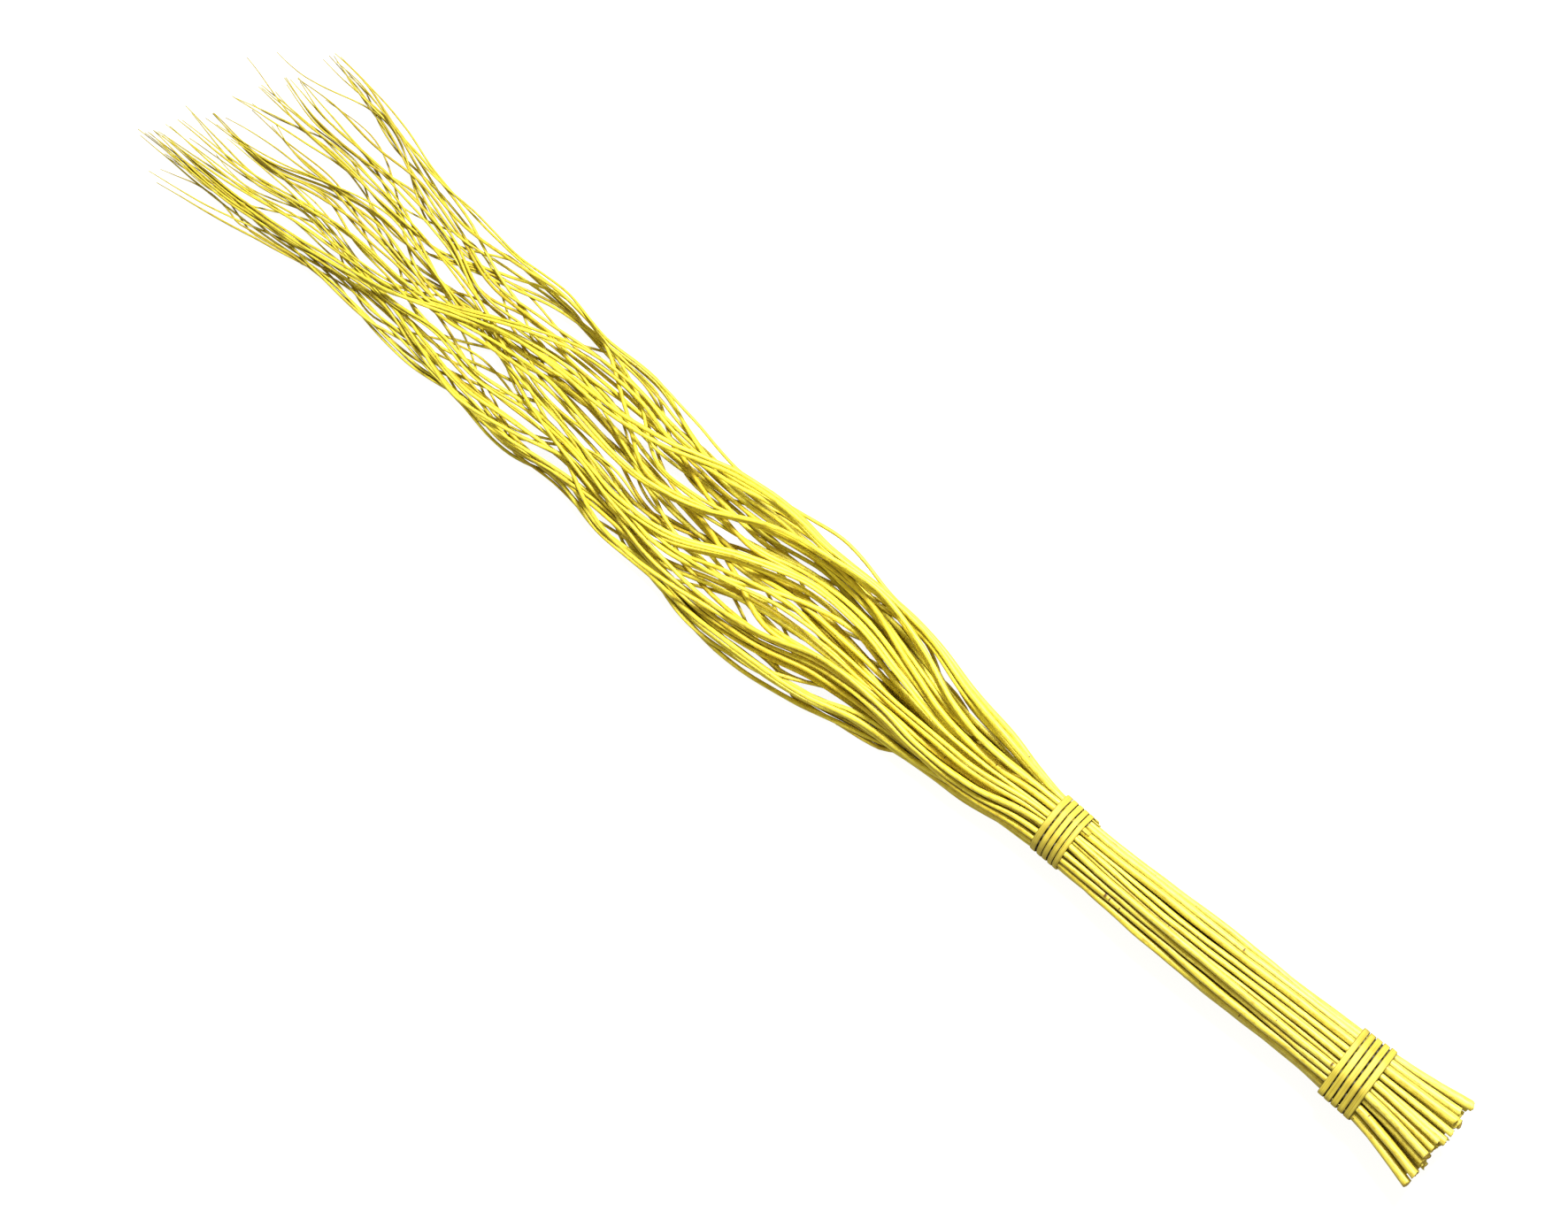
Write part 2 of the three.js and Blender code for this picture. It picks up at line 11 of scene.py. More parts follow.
import bpy
import numpy as np
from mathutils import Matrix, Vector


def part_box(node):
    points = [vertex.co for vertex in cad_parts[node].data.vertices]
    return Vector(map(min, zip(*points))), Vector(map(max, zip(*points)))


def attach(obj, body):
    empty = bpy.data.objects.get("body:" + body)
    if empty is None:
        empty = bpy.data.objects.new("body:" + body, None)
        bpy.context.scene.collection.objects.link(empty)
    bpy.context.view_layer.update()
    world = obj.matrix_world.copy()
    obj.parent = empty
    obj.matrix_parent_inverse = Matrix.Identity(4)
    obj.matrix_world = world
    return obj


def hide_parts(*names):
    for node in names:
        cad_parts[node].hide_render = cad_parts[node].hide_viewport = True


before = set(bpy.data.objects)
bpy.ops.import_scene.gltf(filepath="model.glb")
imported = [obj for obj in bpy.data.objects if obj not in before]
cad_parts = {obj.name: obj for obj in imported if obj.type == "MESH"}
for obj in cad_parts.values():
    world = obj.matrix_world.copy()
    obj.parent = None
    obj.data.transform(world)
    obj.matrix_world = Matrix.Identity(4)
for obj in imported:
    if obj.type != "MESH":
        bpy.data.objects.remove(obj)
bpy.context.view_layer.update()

MM = 0.001
twig_nodes = sorted(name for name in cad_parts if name.startswith("twig_"))

# %% [markdown]
# Camera.
# The bundle lies down, so the camera looks down on it from the photograph's angle. A long lens from
# 2.4 m away keeps the near and the far end almost the same size. The camera comes first because it
# fixes how large a detail must be to show: one pixel is about half a millimetre.

# %% Aim the camera
azimuth = math.radians(43.05)
elevation = math.radians(71)
distance = 2.4
aim_along = -434.2 * MM
aim_across = -18.4 * MM
aim_height = 20 * MM
low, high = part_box("tie_lower")
tie_middle = [(a + b) / 2 for a, b in zip(low, high)]
aim = (tie_middle[0] + aim_along, tie_middle[1] + aim_across, aim_height)
towards_camera = (
    math.sin(azimuth) * math.cos(elevation),
    -math.cos(azimuth) * math.cos(elevation),
    math.sin(elevation),
)
camera_data = bpy.data.cameras.new("camera")
camera_data.lens = 92.2
camera_data.sensor_width = 36
camera = bpy.data.objects.new("camera", camera_data)
camera.location = [a + distance * d for a, d in zip(aim, towards_camera)]
camera.rotation_euler = (math.pi / 2 - elevation, 0, azimuth)
bpy.context.scene.collection.objects.link(camera)
bpy.context.scene.camera = camera
print("camera at", [round(v, 3) for v in camera.location])

# %% [markdown]
# The lines of the rods.
# Each solid of the frame is a chain of straight, square-sectioned lengths. A real rod bends evenly, so
# the middle of each ring is read from the solid and a smooth curve is laid through those middles. All
# rods are then sampled at the same stations along the bundle, every 5 mm, which makes it easy to
# compare neighbours.

# %% Read the rings of a solid
def read_rings(name):
    """x, y, z and radius of each ring of a twig's solid, from the cut end to the tip, in millimetres."""
    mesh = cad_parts[name].data
    points = np.empty(len(mesh.vertices) * 3)
    mesh.vertices.foreach_get("co", points)
    points = points.reshape(-1, 3) / MM
    places = np.round(points[:, 0], 2)
    rings = []
    for x in np.unique(places)[::-1]:
        ring = points[places == x]
        bottom = ring.min(axis=0)
        top = ring.max(axis=0)
        rings.append((x, (bottom[1] + top[1]) / 2, (bottom[2] + top[2]) / 2, (top[2] - bottom[2]) / 2))
    return np.array(rings)


solids = [read_rings(name) for name in twig_nodes]
cut_x = np.array([rings[0, 0] for rings in solids])
tip_x = np.array([rings[-1, 0] for rings in solids])
print("rings per twig:", len(solids[0]), "cut ends from", cut_x.min(), "to", cut_x.max())

# %% A smooth curve through points
def curve_through(xs, values, at):
    """Values of a smooth curve through points listed from high to low x, straight beyond its ends."""
    slopes = np.gradient(values, xs, axis=0)
    inside = np.clip(at, xs[-1], xs[0])
    i = np.clip(np.searchsorted(-xs, -inside, side="right") - 1, 0, len(xs) - 2)
    width = (xs[i + 1] - xs[i])[:, None]
    t = ((inside - xs[i])[:, None]) / width
    ease = t * t * (3 - 2 * t)
    bend = slopes[i] * t * (1 - t) ** 2 - slopes[i + 1] * t * t * (1 - t)
    beyond = (at - inside)[:, None] * np.where(t < 0.5, slopes[i], slopes[i + 1])
    return values[i] + ease * (values[i + 1] - values[i]) + width * bend + beyond


step = 5.0
grid = np.arange(math.ceil(cut_x.max() / step) * step, tip_x.min() - 2 * step, -step)
line = np.array([curve_through(rings[:, 0], rings[:, 1:3], grid) for rings in solids])
alive = (grid < cut_x[:, None] + step) & (grid > tip_x[:, None] - step)
print("stations:", len(grid))

# %% [markdown]
# How thick a rod is.
# A willow rod tapers evenly over most of its length and comes to a thread at the tip. A solid may be a
# little fatter or slimmer than that in places, as its square corners had room or not, so the round rod
# takes only its overall thickness from its solid, and its taper from the law below.

# %% The taper
butt_diameter = 5.2
thin_diameter = 1.1
slim_middle = 0.25
tip_diameter = 0.42
tip_run = 45.0
square_growth = 1.15
taper_length = 1000
taper_from = cut_x.mean()
taper_to = taper_from - taper_length


def even_radius(x):
    """Radius in millimetres at x of a rod of middling thickness, without its pointed tip."""
    share = np.clip((x - taper_to) / (taper_from - taper_to), 0, 1.02)
    even = thin_diameter + (butt_diameter - thin_diameter) * share
    return 0.5 * (even - slim_middle * np.sin(math.pi * share))


def rod_radius(i, x):
    """Radius in millimetres of rod i at x."""
    point = np.clip((x - tip_x[i]) / tip_run, 0, 1)
    return thickness[i] * even_radius(x) * point + 0.5 * tip_diameter * (1 - point)


thickness = np.array([
    np.max(rings[:-1, 3] / even_radius(rings[:-1, 0])) / square_growth for rings in solids
])
radius = np.array([rod_radius(i, grid) for i in range(len(solids))])
print("thickness from", round(thickness.min(), 2), "to", round(thickness.max(), 2))

# %% [markdown]
# Slim twigs.
# Under and between the thick rods the loose part has slimmer, shorter ones. They start inside the upper
# tie and show as the strands that cross the gaps, deeper in colour because they lie in the shade. They
# are too many for the frame's solids, so they are made here: each one waves between the bundle's two
# sides at its own height near the ground, and the settling below parts it from the others. The two
# sides are read from the thick rods, averaged along the bundle, and carried on straight from where the
# first rods end, because beyond that the outermost rods end one by one and the edge would jump.

# %% Slim twigs between the rods
def smoothed(values, run):
    """Values averaged along the stations over about a run in millimetres, true to the trend at both ends."""
    reach = math.ceil(2 * run / step)
    blur = np.exp(-(np.arange(-reach, reach + 1) * step / run) ** 2)
    pads = [(0, 0)] * values.ndim
    pads[1] = (reach, reach)
    longer = np.pad(values, pads, mode="reflect", reflect_type="odd")
    return sum(weight * longer[:, n:n + len(grid)] for n, weight in enumerate(blur / blur.sum()))


slim_count = 15
slim_thickness = 0.8
slim_height = 9.0
slim_start_spread = 4.0
slim_waves = ((0.11, 36), (0.06, 19))
slim_rise = 27
side_run = 30.0
trend_stations = 12
steepest_side = 1.2
calm_run = 240
least_calm = 0.35
gather_from = 130
gather_run = 110
golden_angle = math.pi * (3 - math.sqrt(5))
low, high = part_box("tie_upper")
tied_x = (low[0] + high[0]) / 2 / MM
tied_middle = np.array([low[1] + high[1], low[2] + high[2]]) / 2 / MM
tied_reach = 0.7 * tied_middle[1]
far_side = np.where(alive, line[..., 0] + radius, -1e3).max(axis=0)
near_side = np.where(alive, line[..., 0] - radius, 1e3).min(axis=0)
spread = np.stack([near_side, far_side])
whole = np.flatnonzero(grid > tip_x.max() + step)[-1]
widening = (spread[:, whole] - spread[:, whole - trend_stations]) / trend_stations
widening = np.clip(widening, -steepest_side, steepest_side)
spread[:, whole:] = spread[:, [whole]] + widening[:, None] * np.arange(len(grid) - whole)
near_side, far_side = smoothed(spread, side_run)
print("all twigs reach x", round(float(grid[whole])), "and the last one", round(float(tip_x.min())))
calm = np.clip((grid - grid[whole] + calm_run / 2) / calm_run, least_calm, 1)
rng = np.random.default_rng(8)
for n in range(slim_count):
    waves = 0
    for share, run in slim_waves:
        waves = waves + calm * share * np.sin(grid / run + rng.uniform(0, 2 * math.pi))
    across = np.clip((n + 0.5) / slim_count + waves, 0.03, 0.97)
    open_y = near_side + across * (far_side - near_side)
    tip_x = np.append(tip_x, tip_x.min() + rng.uniform(10, 75))
    cut_x = np.append(cut_x, tied_x + rng.uniform(-1, 1) * slim_start_spread)
    thickness = np.append(thickness, slim_thickness * rng.uniform(0.85, 1.15))
    size = rod_radius(len(tip_x) - 1, grid)
    height = slim_height * rng.uniform(0.1, 1)
    low_z = size + height * (1 + np.sin(grid / slim_rise + rng.uniform(0, 2 * math.pi))) / 2
    gather = np.clip((grid - tied_x + gather_from) / gather_run, 0, 1)
    gather = gather * gather * (3 - 2 * gather)
    way_out = np.array([math.cos(n * golden_angle), math.sin(n * golden_angle)])
    place = tied_middle + tied_reach * math.sqrt((n + 0.5) / slim_count) * way_out
    path = np.column_stack([open_y + gather * (place[0] - open_y), low_z + gather * (place[1] - low_z)])
    line = np.concatenate([line, path[None]])
    radius = np.concatenate([radius, size[None]])
alive = (grid < cut_x[:, None] + step) & (grid > tip_x[:, None] - step)
print("slim twigs:", slim_count)

# %% [markdown]
# Settle the rods on each other.
# The smooth curves cut the corners of the straight lengths, so some rods now run into others. A rigid
# body simulation could part them, but a rod is a springy line, and a few hundred passes of a simple
# rule do it faster and always the same way: push two rods apart where they are too close at a station,
# keep them above the ground and inside the ties, and even out each rod's own shifts along its length.
# That evening out is strong at first and then eases, so that long bends come before close fits. The
# rods in the handle start almost straight, because the two ties hold them taut.

# %% Small bends of their own
rng = np.random.default_rng(11)
handle_wander = 0.7
fine_wander = 0.07
wander_runs = (38, 21)
fine_runs = (7.5, 4.6)
straight_run = 24.0
handle_ease = 60
tie_flare = {"tie_lower": 0.1, "tie_upper": 0.0}
tie_x = {}
for tie in tie_flare:
    low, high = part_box(tie)
    tie_x[tie] = (low[0] / MM, high[0] / MM)
share = np.clip((grid - tie_x["tie_upper"][1]) / (tie_x["tie_lower"][0] - tie_x["tie_upper"][1]), 0, 1)
envelope = np.sin(math.pi * share) ** 0.7
in_handle = np.clip((grid - tie_x["tie_upper"][0] + handle_ease) / handle_ease, 0, 1)[:, None]
aims = line + in_handle * (smoothed(line, straight_run) - line)
for i in range(len(aims)):
    for axis in range(2):
        phase = rng.uniform(0, 2 * math.pi, 4)
        waves = np.sin(grid / wander_runs[0] + phase[0])
        waves = waves + 0.7 * np.sin(grid / wander_runs[1] + phase[1])
        ripple = np.sin(grid / fine_runs[0] + phase[2])
        ripple = ripple + 0.8 * np.sin(grid / fine_runs[1] + phase[3])
        aims[i, :, axis] += handle_wander * envelope * waves + fine_wander * ripple
print("longest bend in the handle:", round(float(np.abs(aims - line).max()), 2), "mm")

# %% Push the rods apart
first, second = np.triu_indices(len(line), 1)
strip_thickness = 1.2
search_room = 3.0
spare_gap = 0.04
tie_gap = 0.2
floor_gap = 0.02
passes = 240
search_every = 12
first_stiffness = 0.9
eased_by = 0.6
push_share = 0.8


def near_pairs(line):
    """Every two rods that are close at a station: the first, the second and the station."""
    gap = line[first] - line[second]
    close = np.hypot(gap[..., 0], gap[..., 1]) < radius[first] + radius[second] + search_room
    pair, station = np.nonzero(close & alive[first] & alive[second])
    return first[pair], second[pair], station


def push_apart(line, pairs, share):
    """Moves both rods of each pair that is too close, and returns how deep the deepest one was."""
    a, b, k = pairs
    gap = line[b, k] - line[a, k]
    apart = np.maximum(np.hypot(gap[:, 0], gap[:, 1]), 1e-6)
    normal = gap / apart[:, None]
    slope = np.gradient(line, grid, axis=1)
    lean = 0.5 * ((slope[a, k] + slope[b, k]) * normal).sum(axis=1)
    need = (radius[a, k] + radius[b, k]) * np.sqrt(1 + lean ** 2) + spare_gap
    deep = np.maximum(0, need - apart)
    push = 0.5 * share * deep[:, None] * normal
    for axis in range(2):
        shift = np.bincount(b * len(grid) + k, push[:, axis], line[..., 0].size)
        shift -= np.bincount(a * len(grid) + k, push[:, axis], line[..., 0].size)
        line[..., axis] += shift.reshape(line.shape[:2])
    return deep.max()


def confine(line):
    """Keeps the rods inside the ties and above the ground."""
    for tie, (near, far) in tie_x.items():
        low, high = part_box(tie)
        at = (grid > near) & (grid < far)
        outer = high[2] / 2 / MM - tie_flare[tie] * (far - grid[at])
        middle = np.column_stack([np.full(len(outer), (low[1] + high[1]) / 2 / MM), outer])
        out = line[:, at] - middle
        reach = np.hypot(out[..., 0], out[..., 1])
        room = outer - strip_thickness - tie_gap
        excess = np.maximum(0, reach + radius[:, at] - room) / np.maximum(reach, 1e-6)
        line[:, at] -= out * excess[..., None]
    line[..., 1] = np.maximum(line[..., 1], radius + floor_gap)


def even_out(line, stiffness):
    """Spreads each rod's shift from its aim along its length."""
    shift = line - aims
    shift[:, 1:-1] += stiffness * ((shift[:, :-2] + shift[:, 2:]) / 2 - shift[:, 1:-1])
    line[:] = aims + shift


line = aims.copy()
for n in range(passes):
    if n % search_every == 0:
        pairs = near_pairs(line)
    even_out(line, first_stiffness - eased_by * n / passes)
    deepest = push_apart(line, pairs, push_share)
    confine(line)
print("pairs:", len(pairs[0]), "deepest overlap before the last push in mm:", round(float(deepest), 3))

# %% [markdown]
# The surface of a rod.
# A peeled rod is nearly round. It swells and thins a little, and every few centimetres it has a bud
# scar: a low knob with a dark lens on the side of the tip. The scars go round the rod in steps of two
# fifths of a turn, as buds do on willow. A curve with a bevel would give an even tube, so the rods are
# swept in code, ring by ring, with more rings near each scar and at the edges of the ties. Four marks
# of the handle lie where the photograph shows its largest ones, on the rod that is on top there.

# %% Where the buds are
bud_turn = math.radians(144)
bud_size = 1.15
first_bud = (18, 60)
bud_spacing = (48, 95)
bare_tip = 90
snags = [(271, -15, 2.6), (433, -4, 2.0), (239, 4, 1.6), (352, 12, 1.5)]


def on_top(x, y):
    """The rod that lies highest at a place on the bundle, in millimetres."""
    k = int(np.argmin(np.abs(grid - x)))
    covers = (np.abs(line[:, k, 0] - y) < radius[:, k]) & alive[:, k]
    return int(np.argmax(np.where(covers, line[:, k, 1], -1)))


def bud_places(i, rng):
    """x and angle of each bud scar of rod i."""
    x = cut_x[i] - rng.uniform(*first_bud)
    angle = rng.uniform(0, 2 * math.pi)
    buds = []
    while x > tip_x[i] + bare_tip:
        buds.append((x, angle % (2 * math.pi), rng.uniform(0.5, 1.2)))
        x -= rng.uniform(*bud_spacing)
        angle += bud_turn + rng.normal(0, 0.15)
    return buds + [(x, math.pi / 2, size) for x, y, size in snags if on_top(x, y) == i]


print("marks placed by hand:", len(snags), "on rods", [on_top(x, y) + 1 for x, y, _ in snags])

# %% Where the rings are
bud_rings = np.array([-2.4, -1.5, -0.8, -0.25, 0.3, 0.9, 1.8])
end_ring = 0.7
second_ring = 1.6
fine_tip = 12
fine_step = 2.0
tip_room = 0.9
least_ring_gap = 0.12
shaded_half = {"tie_lower": 8.9, "tie_upper": 7.6}
shade_fade = 0.8


def ring_x(i, buds):
    """x of each ring of rod i, from the cut end to the tip."""
    even = np.arange(cut_x[i] - second_ring, tip_x[i] + fine_tip, -step)
    fine = np.arange(tip_x[i] + fine_tip, tip_x[i] + tip_room, -fine_step)
    near = [x + bud_rings * min(1, rod_radius(i, x) / 1.5) for x, _, _ in buds]
    at_ties = []
    for tie, half in shaded_half.items():
        middle = sum(tie_x[tie]) / 2
        at_ties += [middle - half - shade_fade, middle - half, middle + half, middle + half + shade_fade]
    xs = np.concatenate([even, fine, [cut_x[i] - end_ring], at_ties, *near])
    xs = np.sort(xs[xs <= cut_x[i] - end_ring])[::-1]
    keep = np.concatenate([[True], np.diff(xs) < -least_ring_gap])
    return xs[keep]


print("rings of a rod with no buds:", len(ring_x(0, [])))

# %% Sweep one rod
sides = 14
swells = ((0.022, 11), (0.018, 4.3))
lobes = ((0.025, 2), (0.014, 3))
bud_rise = 0.13
bud_front = 1.5
bud_back = 0.75
grain_shift = 1300.0


def sweep_rod(i, rng):
    """Points, faces and surface data of rod i."""
    buds = bud_places(i, rng)
    xs = ring_x(i, buds)
    middle = curve_through(grid, line[i], xs)
    path = np.column_stack([xs, middle])
    tangent = np.gradient(path, xs, axis=0)
    tangent /= -np.linalg.norm(tangent, axis=1)[:, None]
    side = np.cross([0, 0, 1], tangent)
    side /= np.linalg.norm(side, axis=1)[:, None]
    up = np.cross(tangent, side)
    along = np.concatenate([[0], np.cumsum(np.linalg.norm(np.diff(path, axis=0), axis=1))])
    around = np.arange(sides) * 2 * math.pi / sides
    phase = rng.uniform(0, 2 * math.pi, 5)
    r = rod_radius(i, xs)[:, None]
    swell = sum(size * np.sin(along / run + shift) for (size, run), shift in zip(swells, phase))
    oval = sum(size * np.cos(count * around + shift) for (size, count), shift in zip(lobes, phase[2:]))
    reach = r * (1 + swell[:, None] + oval[None, :])
    nearest = np.full(reach.shape, 1e3)
    bud = np.zeros(reach.shape + (3,))
    for x, angle, size in buds:
        forward = x - xs[:, None] + 0 * around
        turn = (around[None, :] - angle + math.pi) % (2 * math.pi) - math.pi
        sideways = turn * r
        scale = bud_size * np.minimum(1, r / 2)
        steep = np.where(forward > 0, bud_front, bud_back)
        bump = np.exp(-((forward * steep) ** 2 + sideways ** 2) / scale ** 2)
        reach += bud_rise * size * r * bump
        away = np.hypot(forward, sideways)
        closer = away < nearest
        nearest = np.where(closer, away, nearest)
        here = np.stack([forward, sideways, size + 0 * forward], axis=-1)
        bud = np.where(closer[..., None], here, bud)
    cos = np.cos(around)[None, :, None]
    sin = np.sin(around)[None, :, None]
    points = path[:, None, :] + reach[..., None] * (cos * side[:, None, :] + sin * up[:, None, :])
    grain = np.stack([
        r * np.cos(around), r * np.sin(around), along[:, None] + 0 * around + grain_shift * i,
    ], axis=-1)
    return cap_rod(i, rng, points, grain, bud, path[0], r[0, 0], side[0], up[0], -tangent[0], around)


# %% Close the ends
torn_rings = ((0.99, 0.0), (0.93, 0.12), (0.62, -0.15), (0.3, -0.3), (0.2, -0.75))
cut_tilt = (2, 20)
torn_depth = 0.16
sliver_length = (0.1, 1.6)
sliver_angle = 0.45
cut_depth = 0.6
heart_depth = 0.2
tip_stretch = 0.4
far_from_bud = 9.0


def cap_rod(i, rng, points, grain, bud, start, r, side, up, outward, around):
    """Adds the torn cut face and the point, and turns the rings into faces."""
    tilt = math.tan(math.radians(rng.uniform(*cut_tilt)))
    tilt_at = rng.uniform(0, 2 * math.pi)
    torn = torn_depth * rng.normal(size=sides)
    sliver_at = rng.uniform(0, 2 * math.pi)
    sliver = rng.uniform(*sliver_length) * np.exp(-((around - sliver_at) / sliver_angle) ** 2)
    rough = torn + sliver
    rings = []
    for share, lift in torn_rings:
        out = cut_x[i] - start[0] - cut_depth + tilt * share * r * np.cos(around - tilt_at)
        out = out + lift + rough * share ** 4
        place = start + outward * out[:, None]
        reach = share * r
        rings.append(place + reach * (np.cos(around)[:, None] * side + np.sin(around)[:, None] * up))
    rings = np.array(rings)[::-1]
    heart = rings[0].mean(axis=0) - outward * heart_depth
    all_rings = np.concatenate([rings, points])
    last_middle = points[-1].mean(axis=0)
    tip = last_middle + (last_middle - points[-2].mean(axis=0)) * tip_stretch
    count = len(all_rings)
    verts = np.concatenate([all_rings.reshape(-1, 3), [heart], [tip]])
    k, s = np.meshgrid(np.arange(count - 1), np.arange(sides), indexing="ij")
    a = k * sides + s
    b = k * sides + (s + 1) % sides
    quads = np.stack([a, b, b + sides, a + sides], axis=-1).reshape(-1, 4)
    n = np.arange(sides)
    following = (n + 1) % sides
    last = (count - 1) * sides
    front = np.column_stack([following, n, np.full(sides, count * sides)])
    back = np.column_stack([last + n, last + following, np.full(sides, count * sides + 1)])
    faces = quads.tolist() + front.tolist() + back.tolist()
    cut_quads = (len(torn_rings) - 1) * sides
    cut_face = np.zeros(len(faces), dtype=int)
    cut_face[:cut_quads] = 1
    cut_face[len(quads):len(quads) + sides] = 1
    cap_grain = np.repeat(grain[:1], len(torn_rings), axis=0)
    shares = np.array([share for share, _ in torn_rings])[::-1]
    cap_grain = cap_grain * shares[:, None, None] ** [1, 1, 0]
    cap_bud = np.full((len(torn_rings), sides, 3), far_from_bud)
    grain = np.concatenate([cap_grain, grain]).reshape(-1, 3)
    grain = np.concatenate([grain, grain[:1] * [0, 0, 1], grain[-1:]])
    bud = np.concatenate([cap_bud, bud]).reshape(-1, 3)
    bud = np.concatenate([bud, np.full((2, 3), far_from_bud)])
    return verts, faces, cut_face, grain, bud


# %% Helpers for colours and nodes
def linear(colour):
    """An sRGB hex colour as linear red, green, blue and alpha."""
    parts = [int(colour[n:n + 2], 16) / 255 for n in (1, 3, 5)]
    return [v / 12.92 if v <= 0.04045 else ((v + 0.055) / 1.055) ** 2.4 for v in parts] + [1.0]


def add_node(tree, kind, inputs=None, **settings):
    """Adds a node. An input is a plain value or another node's output."""
    made = tree.nodes.new(kind)
    for name, value in settings.items():
        setattr(made, name, value)
    for socket, value in (inputs or {}).items():
        if isinstance(value, bpy.types.NodeSocket):
            tree.links.new(value, made.inputs[socket])
        else:
            made.inputs[socket].default_value = value
    return made


def set_ramp(node, stops):
    """Gives a colour ramp its stops: place and sRGB hex colour."""
    ramp = node.color_ramp
    while len(ramp.elements) < len(stops):
        ramp.elements.new(0.5)
    for element, (place, colour) in zip(ramp.elements, stops):
        element.position = place
        element.color = linear(colour)
    return node


def new_material(name):
    """An empty material with its shader, and the node tree to add to."""
    material = bpy.data.materials.new(name)
    material.use_nodes = True
    tree = material.node_tree
    shader = tree.nodes["Principled BSDF"]
    return material, tree, shader


# %% [markdown]
# Dyed willow.
# Peeled willow is smooth, almost white wood with fine fibres along it. A water dye soaks in unevenly: it
# is deeper in the thin ends and the bud scars and paler on the thick, dense handle, and each rod takes
# it a little differently. The surface is satin, with the IOR of cellulose, about 1.53. The fibres are
# long streaks: a noise that is squeezed 40 times more across the rod than along it. Real fibres are
# 0.02 mm wide, too fine to show, so they are drawn as the 0.5 mm strands that they clump into. Over
# them lie flecks where the wood was bruised, brown specks, and dark scars. Ambient occlusion measures
# how open a place is, and from it the crevices between the rods get painted shade, a darker base
# colour. A rough coat gives the broad, soft sheen that the dye leaves on the smooth wood.

# %% Dyed willow
strand_width = 0.5 * MM
strand_length = 20 * MM
patch_size = 14 * MM
patch_contrast = 2.2
patch_offset = -0.85
patch_share = 0.45
streak_share = 0.85
fleck_size = 1.6 * MM
fleck_share = 0.7
speck_spacing = 5 * MM
speck_share = 0.8
scar_offset = -0.35
scar_narrowing = 1.9
crevice_depth = 2 * MM
crevice_samples = 4
under_tie_share = 0.92
dull_strand = 0.68
smooth_strand = 0.5
cellulose_ior = 1.53


